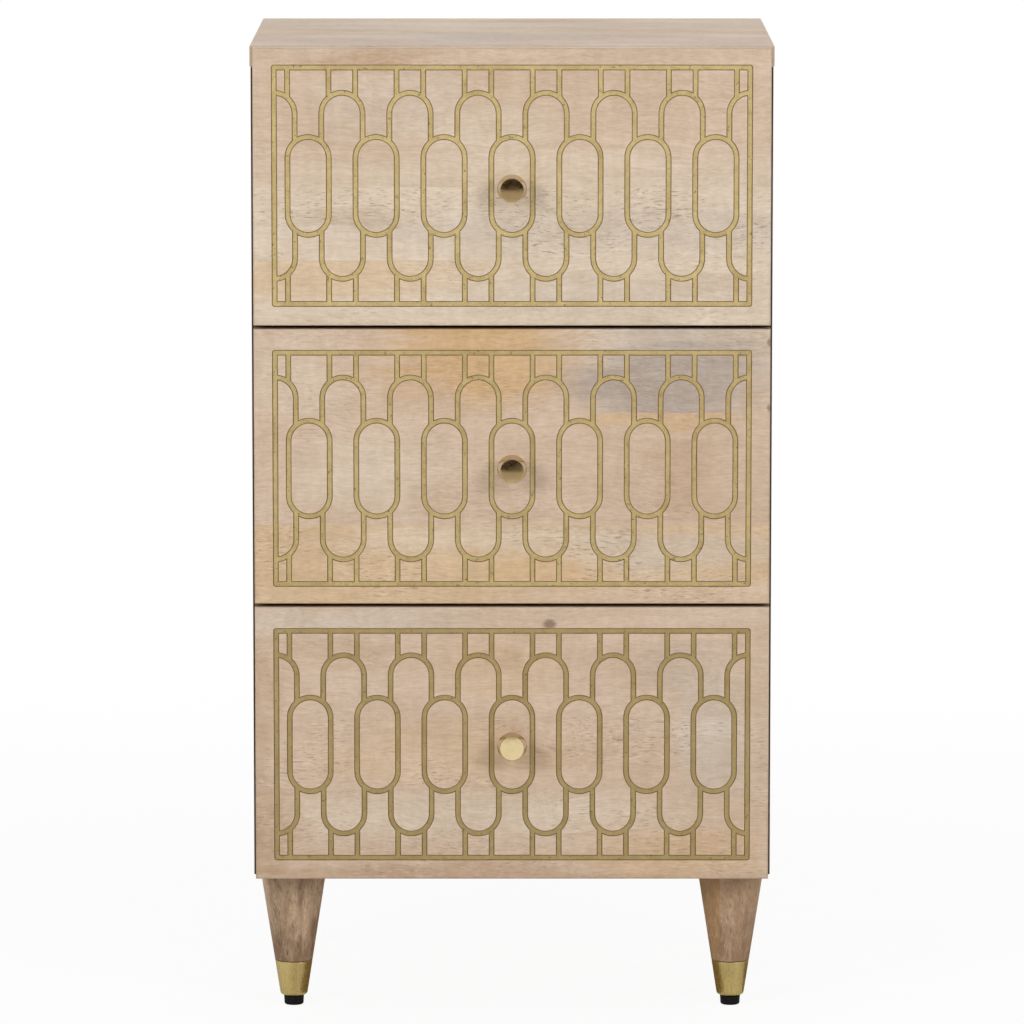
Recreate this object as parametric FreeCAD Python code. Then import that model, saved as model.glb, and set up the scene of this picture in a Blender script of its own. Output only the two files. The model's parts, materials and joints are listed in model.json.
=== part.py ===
import FreeCAD, Part
import math
import os

Vector = FreeCAD.Vector

# Three-drawer chest in solid wood on turned legs, in millimetres.
# +Z is up, the drawers open towards -Y, and Z = 0 is the floor under the glides.

# Overall sizes
overall_width = 400.0
overall_height = 750.0
body_depth = 330.0
leg_height = 109.0

# Carcass boards
panel_thickness = 16.0
top_overhang = 0.7
divider_thickness = 16.0
divider_depth = 45.0
back_thickness = 5.0
back_lap = 8.0
board_clearance = 0.3

# Dowels of the carcass joints
dowel_radius = 4.0
dowel_length = 30.0
dowel_bite = 10.0
top_dowel_inset = 60.0
base_dowel_inset = 100.0
dowel_fit = 0.05
dowel_end_gap = 0.5

# Drawer fronts
drawer_names = ("top", "middle", "bottom")
front_thickness = 18.0
front_inset = 2.0
front_gap = 2.7
front_top_drop = 0.5
front_reveal = 1.5
front_edge_radius = 2.0

# Carved lattice on each front, measured on the centre lines of its grooves.
# It is laid out by hand, so the room above and below it differs from front to front.
# The ovals' heights are shares of the border's height.
lattice_side_inset = 16.4
lattice_insets = {"top": (14.6, 16.7), "middle": (18.0, 15.4), "bottom": (18.3, 16.8)}
lattice_columns = 7
oval_width = 31.4
tall_oval_share = 0.787
short_oval_share = 0.414
groove_width = 4.0
groove_depth = 1.2

# Drawer boxes
box_board = 12.0
box_length = 285.0
box_lift = 22.0
box_top_drop = 39.7
housing_depth = 4.0
base_thickness = 5.0
base_rise = 10.0
base_groove_depth = 6.0
base_groove_play = 0.2

# Telescopic runners: three nested channels with ball cages between them
runner_length = 250.0
runner_height = 45.0
runner_space = 12.7
runner_setback = 3.0
runner_rise = 65.0
runner_sheet = 1.2
cabinet_rail_flange = 9.5
web_gap = 2.3
flange_end_gap = 0.8
race_gap = 2.3
lip_clearance = 0.8
rail_play = 0.5
cage_clearance = 0.15
cage_side_gap = 0.3
cage_length = 110.0
cage_end_gap = 6.0

# Knobs
knob_projection = 25.0
knob_base_radius = 8.0
knob_base_height = 1.5
knob_stem_radius = 5.2
knob_stem_height = 10.0
knob_head_radius = 11.3
knob_head_start = 14.5
knob_face_radius = 8.9
knob_face_bevel = 0.5
knob_face_dome = 0.35

# Legs, ferrules and levelling glides
leg_inset_x = 29.3
leg_inset_y = 36.0
leg_top_radius = 26.0
leg_tip_radius = 10.3
ferrule_height = 27.5
ferrule_wall = 1.0
ferrule_edge_radius = 2.5
ferrule_fit = 0.05
ferrule_seam = 0.3
glide_height = 7.2
glide_gap = 0.5
glide_radius = 7.8
glide_foot_radius = 7.2
glide_edge_height = 1.0
glide_stud_radius = 3.0
glide_stud_length = 24.0
glide_stud_chamfer = 0.6
glide_bore_depth = 28.0
glide_insert_radius = 4.5
glide_insert_length = 14.0
thread_fit = 0.05

# Leg fixings
hanger_bolt_radius = 4.0
hanger_bolt_in_leg = 32.0
hanger_bolt_rise = 0.8
bolt_end_gap = 1.0
tee_nut_radius = 5.2
tee_nut_length = 13.0
tee_flange_radius = 10.0
tee_flange_thickness = 1.6

# Screws
wood_screw_radius = 1.75
wood_screw_head_radius = 3.5
wood_screw_head_height = 1.8
rail_screw_inset = 35.0
rail_screw_in_panel = 12.0
rail_screw_in_box = 9.0
front_screw_x = 100.0
front_screw_inset = 35.0
front_screw_bite = 12.0
knob_screw_radius = 2.0
knob_screw_bite = 13.0
knob_screw_head_radius = 4.0
knob_screw_head_height = 2.6
back_screw_radius = 1.5
back_screw_head_radius = 3.0
back_screw_length = 22.0
back_screw_inset = 45.0
side_screw_count = 4
base_screw_count = 3
screw_fit = 0.05
screw_end_gap = 0.5

# Levels and faces that the boards share
carcass_half = overall_width / 2 - top_overhang
inner_half = carcass_half - panel_thickness
back_y = (body_depth + knob_projection) / 2
front_y = back_y - body_depth
front_back_y = front_y + front_thickness
carcass_front_y = front_back_y + front_reveal
back_panel_y = back_y - back_thickness
under_top_z = overall_height - panel_thickness
base_top_z = leg_height + panel_thickness
base_mid_z = leg_height + panel_thickness / 2

# Drawers, each worked out with the bottom edge of its front at Z = 0
drawer_count = len(drawer_names)
front_half = carcass_half - front_inset
front_stack = overall_height - front_top_drop - leg_height
front_height = (front_stack - (drawer_count - 1) * front_gap) / drawer_count
front_pitch = front_height + front_gap
front_bottoms = [leg_height + (drawer_count - 1 - row) * front_pitch for row in range(drawer_count)]
front_mid_z = front_height / 2
divider_levels = [bottom - front_gap / 2 for bottom in front_bottoms[:-1]]
box_half = inner_half - runner_space
box_inner_half = box_half - box_board
box_back_y = front_back_y + box_length
box_front_inner_y = front_back_y + box_board
box_back_inner_y = box_back_y - box_board
box_top = front_height - box_top_drop

# Runner profile, with U measured from the side panel towards the drawer
cabinet_rail_half = runner_height / 2
middle_rail_half = cabinet_rail_half - runner_sheet - race_gap
drawer_rail_half = middle_rail_half - runner_sheet - race_gap
lip_height = race_gap - lip_clearance
middle_web_u = runner_sheet + web_gap
middle_end_u = runner_space - runner_sheet - rail_play
drawer_end_u = middle_web_u + runner_sheet + flange_end_gap
drawer_web_u = runner_space - runner_sheet
runner_z = box_lift + runner_rise
runner_front_y = carcass_front_y + runner_setback
runner_back_y = runner_front_y + runner_length
rail_screw_ys = (runner_front_y + rail_screw_inset, runner_back_y - rail_screw_inset)

# Legs and glides
leg_x = carcass_half - leg_inset_x
leg_front_y = carcass_front_y + leg_inset_y
leg_rear_y = back_y - leg_inset_y
leg_places = {
    "front_left": Vector(-leg_x, leg_front_y, 0),
    "front_right": Vector(leg_x, leg_front_y, 0),
    "rear_left": Vector(-leg_x, leg_rear_y, 0),
    "rear_right": Vector(leg_x, leg_rear_y, 0),
}
ferrule_bottom_z = glide_height + glide_gap
ferrule_floor_z = ferrule_bottom_z + ferrule_wall
ferrule_top_z = ferrule_bottom_z + ferrule_height
leg_shoulder_z = ferrule_top_z + ferrule_seam

SIDES = {"left": -1, "right": 1}
UP = Vector(0, 0, 1)
FORWARD = Vector(0, -1, 0)


def box(x0, x1, y0, y1, z0, z1):
    """Board between two corners."""
    x0, x1 = sorted((x0, x1))
    return Part.makeBox(x1 - x0, y1 - y0, z1 - z0, Vector(x0, y0, z0))


def rod(start, direction, length, radius):
    """Round bar from a point along a unit direction."""
    return Part.makeCylinder(radius, length, start, direction)


def lathe(profile, place=Vector(0, 0, 0)):
    """Turned piece from (radius, height) points, standing on the Z axis through a place."""
    points = [Vector(radius, 0, height) for radius, height in profile]
    face = Part.Face(Part.makePolygon(points + points[:1]))
    return face.revolve(Vector(0, 0, 0), UP, 360).translated(place)


def pan_screw(seat, direction, shank_radius, length, head_radius, head_height):
    """Screw whose flat head rests on the seat and whose shank runs along the direction."""
    head = rod(seat - direction * head_height, direction, head_height, head_radius)
    return head.fuse(rod(seat, direction, length, shank_radius)).removeSplitter()


def screw_hole(seat, direction, shank_radius, length):
    """Hole for a screw shank, a little wider and deeper than the shank."""
    return rod(seat, direction, length + screw_end_gap, shank_radius + screw_fit)


def save(name, shapes):
    """Write one node, as a single solid or as a group of separate solids."""
    shape = shapes[0] if len(shapes) == 1 else Part.makeCompound(shapes)
    shape.exportStep(f"parts/{name}.step")


# Carcass fasteners

def dowel(joint, direction, radius, end_gap):
    """Dowel through a joint plane, or its hole when given a wider radius and an end gap."""
    start = joint - direction * (dowel_length - dowel_bite + end_gap)
    return rod(start, direction, dowel_length + 2 * end_gap, radius)


def dowel_joints():
    """Point on the joint plane and direction into the outer board, for every carcass dowel."""
    joints = []
    for side in SIDES.values():
        outward = Vector(side, 0, 0)
        edge_x = side * (carcass_half - panel_thickness / 2)
        for y in (carcass_front_y + top_dowel_inset, back_y - top_dowel_inset):
            joints.append((Vector(edge_x, y, under_top_z), UP))
        for y in (carcass_front_y + base_dowel_inset, back_y - base_dowel_inset):
            joints.append((Vector(side * inner_half, y, base_mid_z), outward))
        for level in divider_levels:
            joints.append((Vector(side * inner_half, carcass_front_y + divider_depth / 2, level), outward))
    return joints


def cabinet_rail_screw_seats():
    """Seat under the head and direction of every screw in the cabinet rails."""
    seats = []
    for side in SIDES.values():
        for bottom in front_bottoms:
            for y in rail_screw_ys:
                seat = Vector(side * (inner_half - runner_sheet), y, bottom + runner_z)
                seats.append((seat, Vector(side, 0, 0)))
    return seats


def spread(first, last, count):
    """Evenly spaced places from the first to the last."""
    return [first + (last - first) * step / (count - 1) for step in range(count)]


def back_screw_points():
    """Points on the rear face where the back panel is screwed on."""
    lap_x = inner_half + back_lap / 2
    levels = spread(base_top_z + back_screw_inset, under_top_z - back_screw_inset, side_screw_count)
    base_xs = spread(-inner_half + back_screw_inset, inner_half - back_screw_inset, base_screw_count)
    points = [Vector(side * lap_x, back_y, z) for side in SIDES.values() for z in levels]
    return points + [Vector(x, back_y, base_mid_z) for x in base_xs]


def countersunk_screw(point, fit, end_gap):
    """Back panel screw with a sunk head, or its hole when given a fit and an end gap."""
    head_depth = back_screw_head_radius - back_screw_radius
    head = Part.makeCone(back_screw_head_radius + fit, back_screw_radius + fit, head_depth, point, FORWARD)
    shank = rod(point, FORWARD, back_screw_length + end_gap, back_screw_radius + fit)
    return head.fuse(shank).removeSplitter()


dowel_holes = [dowel(*joint, dowel_radius + dowel_fit, dowel_end_gap) for joint in dowel_joints()]
rail_screw_length = runner_sheet + rail_screw_in_panel
rail_screw_holes = [
    screw_hole(*seat, wood_screw_radius, rail_screw_length) for seat in cabinet_rail_screw_seats()
]
back_screw_holes = [countersunk_screw(point, screw_fit, screw_end_gap) for point in back_screw_points()]
tee_nut_holes = [
    rod(place + UP * leg_height, UP, panel_thickness, tee_nut_radius + thread_fit)
    for place in leg_places.values()
]


# Carcass boards

def top_panel():
    """Top board, which lies on the side panels and runs over the back panel."""
    half = overall_width / 2
    board = box(-half, half, carcass_front_y, back_y, under_top_z, overall_height)
    return board.cut(dowel_holes)


def side_panel(side):
    """Side board with a rebate for the back panel."""
    board = box(side * inner_half, side * carcass_half, carcass_front_y, back_y, leg_height, under_top_z)
    rebate_x = side * (inner_half + back_lap + board_clearance)
    rebate = box(side * inner_half, rebate_x, back_panel_y, back_y, leg_height, under_top_z)
    return board.cut([rebate] + dowel_holes + rail_screw_holes + back_screw_holes)


def bottom_panel():
    """Base board between the side panels, which carries the legs."""
    board = box(-inner_half, inner_half, carcass_front_y, back_panel_y, leg_height, base_top_z)
    return board.cut(dowel_holes + tee_nut_holes + back_screw_holes)


def back_panel():
    """Thin back in the rebates of the sides, over the rear edge of the base board."""
    half = inner_half + back_lap
    board = box(-half, half, back_panel_y, back_y, leg_height, under_top_z - board_clearance)
    return board.cut(back_screw_holes)


def divider_rail(level):
    """Rail between the side panels, behind the gap between two drawer fronts."""
    low = level - divider_thickness / 2
    rear_y = carcass_front_y + divider_depth
    rail = box(-inner_half, inner_half, carcass_front_y, rear_y, low, low + divider_thickness)
    return rail.cut(dowel_holes)


# Legs

def leg_radius(z):
    """Radius of the tapered outline that a leg and its ferrule share."""
    taper = (leg_top_radius - leg_tip_radius) / (leg_height - ferrule_bottom_z)
    return leg_tip_radius + taper * (z - ferrule_bottom_z)


def leg(place):
    """Tapered leg with a spigot inside the ferrule, bored for its bolt and for the glide."""
    def spigot_radius(z):
        return leg_radius(z) - ferrule_wall - ferrule_fit

    body = lathe([
        (0, ferrule_floor_z),
        (spigot_radius(ferrule_floor_z), ferrule_floor_z),
        (spigot_radius(leg_shoulder_z), leg_shoulder_z),
        (leg_radius(leg_shoulder_z), leg_shoulder_z),
        (leg_top_radius, leg_height),
        (0, leg_height),
    ], place)
    bolt_depth = hanger_bolt_in_leg + bolt_end_gap
    bolt_hole = rod(place + UP * (leg_height - bolt_depth), UP, bolt_depth, hanger_bolt_radius + thread_fit)
    floor = place + UP * ferrule_floor_z
    insert_hole = rod(floor, UP, glide_insert_length, glide_insert_radius + thread_fit)
    stud_hole = rod(floor, UP, glide_bore_depth, glide_stud_radius + thread_fit)
    return body.cut([bolt_hole, insert_hole, stud_hole])


def ferrule(place):
    """Brass cup that continues the leg's taper, with a hole for the glide's stud."""
    outer = Part.makeCone(leg_tip_radius, leg_radius(ferrule_top_z), ferrule_height, UP * ferrule_bottom_z)
    lower_edges = [edge for edge in outer.Edges if edge.BoundBox.ZMax < ferrule_floor_z]
    outer = outer.makeFillet(ferrule_edge_radius, lower_edges)
    inside_height = ferrule_top_z - ferrule_floor_z
    inside = Part.makeCone(
        leg_radius(ferrule_floor_z) - ferrule_wall,
        leg_radius(ferrule_top_z) - ferrule_wall,
        inside_height,
        UP * ferrule_floor_z,
    )
    stud_hole = rod(UP * ferrule_bottom_z, UP, ferrule_wall, glide_stud_radius + thread_fit)
    return outer.cut([inside, stud_hole]).translated(place)


def hanger_bolt(place):
    """Bolt from the leg up through the base board and the tee nut."""
    length = hanger_bolt_in_leg + panel_thickness + tee_flange_thickness + hanger_bolt_rise
    return rod(place + UP * (leg_height - hanger_bolt_in_leg), UP, length, hanger_bolt_radius)


def tee_nut(place):
    """Flanged nut let into the base board from above."""
    seat = place + UP * base_top_z
    flange = rod(seat, UP, tee_flange_thickness, tee_flange_radius)
    barrel = rod(seat - UP * tee_nut_length, UP, tee_nut_length, tee_nut_radius)
    bore_length = tee_nut_length + tee_flange_thickness
    bore = rod(seat - UP * tee_nut_length, UP, bore_length, hanger_bolt_radius + thread_fit)
    return flange.fuse(barrel).removeSplitter().cut(bore)


def glide_insert(place):
    """Threaded sleeve in the leg's end, which the glide screws into."""
    floor = place + UP * ferrule_floor_z
    sleeve = rod(floor, UP, glide_insert_length, glide_insert_radius)
    return sleeve.cut(rod(floor, UP, glide_insert_length, glide_stud_radius + thread_fit))


def levelling_glide(place):
    """Black foot with its stud in one piece."""
    stud_top = glide_height + glide_stud_length
    return lathe([
        (0, 0),
        (glide_foot_radius, 0),
        (glide_radius, glide_edge_height),
        (glide_radius, glide_height),
        (glide_stud_radius, glide_height),
        (glide_stud_radius, stud_top - glide_stud_chamfer),
        (glide_stud_radius - glide_stud_chamfer, stud_top),
        (0, stud_top),
    ], place)


# Runners

def channel(side, web_u, end_u, half_height, lip):
    """Sheet channel with its web at one U, open towards the other, and lips of a given height."""
    inward = runner_sheet if end_u > web_u else -runner_sheet
    inner = half_height - runner_sheet
    upper = [(web_u, half_height), (end_u, half_height), (end_u, inner - lip)]
    if lip > 0:
        upper += [(end_u - inward, inner - lip), (end_u - inward, inner)]
    upper.append((web_u + inward, inner))
    lower = [(u, -z) for u, z in reversed(upper)]
    points = [Vector(side * (inner_half - u), runner_front_y, runner_z + z) for u, z in upper + lower]
    face = Part.Face(Part.makePolygon(points + points[:1]))
    return face.extrude(Vector(0, runner_length, 0))


def cabinet_rail(side):
    """Outer channel, screwed to the side panel."""
    return channel(side, 0, cabinet_rail_flange, cabinet_rail_half, lip_height)


def middle_rail(side):
    """Channel that runs half as far as the drawer."""
    return channel(side, middle_web_u, middle_end_u, middle_rail_half, lip_height)


def drawer_rail(side):
    """Inner channel, screwed to the side of the drawer box."""
    return channel(side, runner_space, drawer_end_u, drawer_rail_half, 0)


def ball_cages(side):
    """Four cages of one runner: the outer two ride at the rear, the inner two at the front."""
    outer_u = (middle_web_u + cage_side_gap, cabinet_rail_flange - runner_sheet - cage_side_gap)
    inner_u = (drawer_end_u + cage_side_gap, middle_end_u - runner_sheet - cage_side_gap)
    rear_y = runner_back_y - cage_end_gap - cage_length
    front_cage_y = runner_front_y + cage_end_gap
    height = race_gap - 2 * cage_clearance
    cages = []
    for (near_u, far_u), y, race in (
        (outer_u, rear_y, middle_rail_half),
        (inner_u, front_cage_y, drawer_rail_half),
    ):
        near_x = side * (inner_half - near_u)
        far_x = side * (inner_half - far_u)
        above = runner_z + race + cage_clearance
        below = runner_z - race - cage_clearance - height
        for low in (above, below):
            cages.append(box(near_x, far_x, y, y + cage_length, low, low + height))
    return cages


# Drawer boxes

def drawer_rail_screw_seats():
    """Seat under the head and direction of each screw in the drawer rails."""
    return [
        (Vector(side * (inner_half - drawer_web_u), y, runner_z), Vector(-side, 0, 0))
        for side in SIDES.values()
        for y in rail_screw_ys
    ]


def front_screw_seats():
    """Seats on the inside of the box front for the screws that hold the drawer front."""
    return [
        Vector(x, box_front_inner_y, z)
        for x in (-front_screw_x, front_screw_x)
        for z in (box_lift + front_screw_inset, box_top - front_screw_inset)
    ]


knob_seat = Vector(0, box_front_inner_y, front_mid_z)
front_screw_length = box_board + front_screw_bite
knob_screw_length = box_board + front_thickness + knob_screw_bite
drawer_rail_screw_length = runner_sheet + rail_screw_in_box
drawer_rail_screw_holes = [
    screw_hole(*seat, wood_screw_radius, drawer_rail_screw_length) for seat in drawer_rail_screw_seats()
]
front_holes = [
    screw_hole(seat, FORWARD, wood_screw_radius, front_screw_length) for seat in front_screw_seats()
]
front_holes.append(screw_hole(knob_seat, FORWARD, knob_screw_radius, knob_screw_length))


def drawer_screws():
    """Screws of one drawer: runners, drawer front and knob."""
    wood_head = (wood_screw_head_radius, wood_screw_head_height)
    screws = [
        pan_screw(*seat, wood_screw_radius, drawer_rail_screw_length, *wood_head)
        for seat in drawer_rail_screw_seats()
    ]
    screws += [
        pan_screw(seat, FORWARD, wood_screw_radius, front_screw_length, *wood_head)
        for seat in front_screw_seats()
    ]
    knob_head = (knob_screw_head_radius, knob_screw_head_height)
    screws.append(pan_screw(knob_seat, FORWARD, knob_screw_radius, knob_screw_length, *knob_head))
    return screws


def housed_board(y, reach):
    """Board across the drawer box between two depths, reaching into the housings of both sides."""
    half = box_inner_half + reach
    return box(-half, half, y, y + box_board, box_lift, box_top)


def base_board(play):
    """Thin base of the drawer box, or the room for it in the grooves when given some play."""
    half = box_inner_half + base_groove_depth - board_clearance + play
    front = box_front_inner_y - base_groove_depth + board_clearance - play
    rear = box_back_inner_y + base_groove_depth - board_clearance + play
    low = box_lift + base_rise
    return box(-half, half, front, rear, low, low + base_thickness + play)


base_room = base_board(base_groove_play)


def box_front():
    """Front board of the drawer box, which the drawer front is screwed to."""
    return housed_board(front_back_y, housing_depth - board_clearance).cut([base_room] + front_holes)


def box_back():
    """Rear board of the drawer box."""
    return housed_board(box_back_inner_y, housing_depth - board_clearance).cut(base_room)


def box_side(side):
    """Side of the drawer box, with housings for the front and back boards and a groove for the base."""
    board = box(side * box_inner_half, side * box_half, front_back_y, box_back_y, box_lift, box_top)
    housings = [housed_board(y, housing_depth) for y in (front_back_y, box_back_inner_y)]
    return board.cut(housings + [base_room] + drawer_rail_screw_holes)


# Drawer fronts

def front_prism(face):
    """Body under an outline on the front plane, from in front of the wood to the groove floor."""
    return face.extrude(Vector(0, groove_width + groove_depth, 0))


def plane_point(x, z):
    """Point of the lattice, in front of the wood by one groove width."""
    return Vector(x, front_y - groove_width, front_mid_z + z)


def rectangle(half_width, half_height):
    """Upright rectangle about the middle of the front."""
    corners = [(-1, -1), (1, -1), (1, 1), (-1, 1)]
    points = [plane_point(across * half_width, up * half_height) for across, up in corners]
    return front_prism(Part.Face(Part.makePolygon(points + points[:1])))


def oval(x, half_height, growth):
    """Upright oval with half-round ends, grown by half a groove to either side of its centre line."""
    radius = oval_width / 2 + growth
    shoulder = half_height + growth - radius
    lower_left, upper_left = plane_point(x - radius, -shoulder), plane_point(x - radius, shoulder)
    lower_right, upper_right = plane_point(x + radius, -shoulder), plane_point(x + radius, shoulder)
    head, foot = plane_point(x, shoulder + radius), plane_point(x, -shoulder - radius)
    outline = Part.Wire([
        Part.LineSegment(lower_left, upper_left).toShape(),
        Part.Arc(upper_left, head, upper_right).toShape(),
        Part.LineSegment(upper_right, lower_right).toShape(),
        Part.Arc(lower_right, foot, lower_left).toShape(),
    ])
    return front_prism(Part.Face(outline))


def lattice_grooves(room_above, room_below):
    """The carved lines: a border, a row of short ovals over a row of tall ones, and short uprights."""
    half_line = groove_width / 2
    half_width = front_half - lattice_side_inset
    half_height = (front_height - room_above - room_below) / 2
    pitch = 2 * half_width / lattice_columns
    short_half = half_height * short_oval_share
    tall_half = half_height * tall_oval_share
    short_xs = [(column - (lattice_columns - 1) / 2) * pitch for column in range(lattice_columns)]
    tall_xs = [(column - lattice_columns / 2) * pitch for column in range(lattice_columns + 1)]

    short_outer = [oval(x, short_half, half_line) for x in short_xs]
    short_inner = [oval(x, short_half, -half_line) for x in short_xs]
    tall_outer = [oval(x, tall_half, half_line) for x in tall_xs]
    tall_inner = [oval(x, tall_half, -half_line) for x in tall_xs]
    inside = rectangle(half_width - half_line, half_height - half_line)
    outside = rectangle(half_width + half_line, half_height + half_line)
    corners = [edge for edge in outside.Edges if edge.BoundBox.YLength > half_line]
    outside = outside.makeFillet(half_line, corners)

    uprights = []
    for x in short_xs:
        for line_x in (x - oval_width / 2, x + oval_width / 2):
            upright = box(
                line_x - half_line,
                line_x + half_line,
                front_y - groove_width,
                front_y + groove_depth,
                front_mid_z - half_height,
                front_mid_z + half_height,
            )
            uprights.append(upright)

    open_wood = inside.cut(short_outer + tall_outer + uprights)
    tall_wood = [shape.common(inside).cut(short_outer) for shape in tall_inner]
    lines = outside.cut([open_wood] + tall_wood + short_inner)
    return lines.translated(UP * (room_below - room_above) / 2)


def drawer_front(level):
    """Overlay front with eased front edges, the carved lattice and holes for its fixings."""
    board = box(-front_half, front_half, front_y, front_back_y, 0, front_height)
    front_edges = [edge for edge in board.Edges if edge.BoundBox.YMax < front_y + front_edge_radius / 2]
    board = board.makeFillet(front_edge_radius, front_edges)
    return board.cut([lattice_grooves(*lattice_insets[level])] + front_holes)


def knob():
    """Turned brass knob: a foot, a stem and a head that narrows towards its slightly domed face."""
    def point(radius, height):
        return Vector(radius, 0, height)

    def line(start, end):
        return Part.LineSegment(start, end).toShape()

    def arc(start, middle, end):
        return Part.Arc(start, middle, end).toShape()

    rim_height = knob_projection - knob_face_dome
    dome_radius = (knob_face_radius ** 2 + knob_face_dome ** 2) / (2 * knob_face_dome)
    dome_half_angle = math.asin(knob_face_radius / dome_radius) / 2
    dome_middle = point(
        dome_radius * math.sin(dome_half_angle),
        knob_projection - dome_radius * (1 - math.cos(dome_half_angle)),
    )
    cove_middle = point(
        knob_stem_radius + (knob_head_radius - knob_stem_radius) / 3,
        knob_stem_height + (knob_head_start - knob_stem_height) * 2 / 3,
    )
    axis_foot = point(0, 0)
    foot_edge = point(knob_base_radius, 0)
    foot_top = point(knob_base_radius, knob_base_height)
    stem_foot = point(knob_stem_radius, knob_base_height)
    stem_head = point(knob_stem_radius, knob_stem_height)
    head_edge = point(knob_head_radius, knob_head_start)
    face_side = point(knob_face_radius + knob_face_bevel, rim_height - knob_face_bevel)
    face_edge = point(knob_face_radius, rim_height)
    axis_head = point(0, knob_projection)
    outline = Part.Wire([
        line(axis_foot, foot_edge),
        line(foot_edge, foot_top),
        line(foot_top, stem_foot),
        line(stem_foot, stem_head),
        arc(stem_head, cove_middle, head_edge),
        line(head_edge, face_side),
        line(face_side, face_edge),
        arc(face_edge, dome_middle, axis_head),
        line(axis_head, axis_foot),
    ])
    body = Part.Face(outline).revolve(axis_foot, UP, 360)
    body = body.cut(screw_hole(axis_foot, UP, knob_screw_radius, knob_screw_bite))
    body.rotate(axis_foot, Vector(1, 0, 0), 90)
    return body.translated(Vector(0, front_y, front_mid_z))


# Nodes

def save_carcass():
    """Boards, dividers and fasteners of the carcass."""
    save("top_panel", [top_panel()])
    for name, side in SIDES.items():
        save(f"{name}_side_panel", [side_panel(side)])
    save("bottom_panel", [bottom_panel()])
    save("back_panel", [back_panel()])
    for name, level in zip(("upper", "lower"), divider_levels):
        save(f"{name}_divider_rail", [divider_rail(level)])
    save("carcass_dowels", [dowel(*joint, dowel_radius, 0) for joint in dowel_joints()])
    save("back_panel_screws", [countersunk_screw(point, 0, 0) for point in back_screw_points()])
    wood_head = (wood_screw_head_radius, wood_screw_head_height)
    save("cabinet_rail_screws", [
        pan_screw(*seat, wood_screw_radius, rail_screw_length, *wood_head)
        for seat in cabinet_rail_screw_seats()
    ])


def save_legs():
    """Legs with their ferrules, glides and fixings."""
    for name, place in leg_places.items():
        save(f"{name}_leg", [leg(place)])
        save(f"{name}_ferrule", [ferrule(place)])
        save(f"{name}_glide", [levelling_glide(place)])
    places = list(leg_places.values())
    save("leg_hanger_bolts", [hanger_bolt(place) for place in places])
    save("leg_tee_nuts", [tee_nut(place) for place in places])
    save("glide_inserts", [glide_insert(place) for place in places])


def save_drawers():
    """The drawers with their runners: each front on its own, the rest alike at every level."""
    both = SIDES.values()
    nodes = {
        "drawer_box_front": [box_front()],
        "drawer_left_side": [box_side(SIDES["left"])],
        "drawer_right_side": [box_side(SIDES["right"])],
        "drawer_back": [box_back()],
        "drawer_base": [base_board(0)],
        "drawer_knob": [knob()],
        "drawer_screws": drawer_screws(),
        "drawer_rails": [drawer_rail(side).cut(drawer_rail_screw_holes) for side in both],
        "drawer_middle_rails": [middle_rail(side) for side in both],
        "drawer_ball_cages": [cage for side in both for cage in ball_cages(side)],
    }
    for level, bottom in zip(drawer_names, front_bottoms):
        save(f"{level}_drawer_front", [drawer_front(level).translated(UP * bottom)])
        for name, shapes in nodes.items():
            save(f"{level}_{name}", [shape.translated(UP * bottom) for shape in shapes])
    for name, side in SIDES.items():
        rails = [cabinet_rail(side).translated(UP * bottom) for bottom in front_bottoms]
        save(f"{name}_cabinet_rails", [rail.cut(rail_screw_holes) for rail in rails])


os.makedirs("parts", exist_ok=True)
save_carcass()
save_legs()
save_drawers()
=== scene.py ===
"""Finish of a three-drawer chest in whitewashed wood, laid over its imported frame.

Everything is in metres, with +Z up and the drawers opening towards -Y.
"""

import json
import math
from collections import namedtuple

import bmesh
import bpy
from bpy.props import FloatProperty, FloatVectorProperty, IntProperty, PointerProperty
from mathutils import Matrix, Vector

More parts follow.
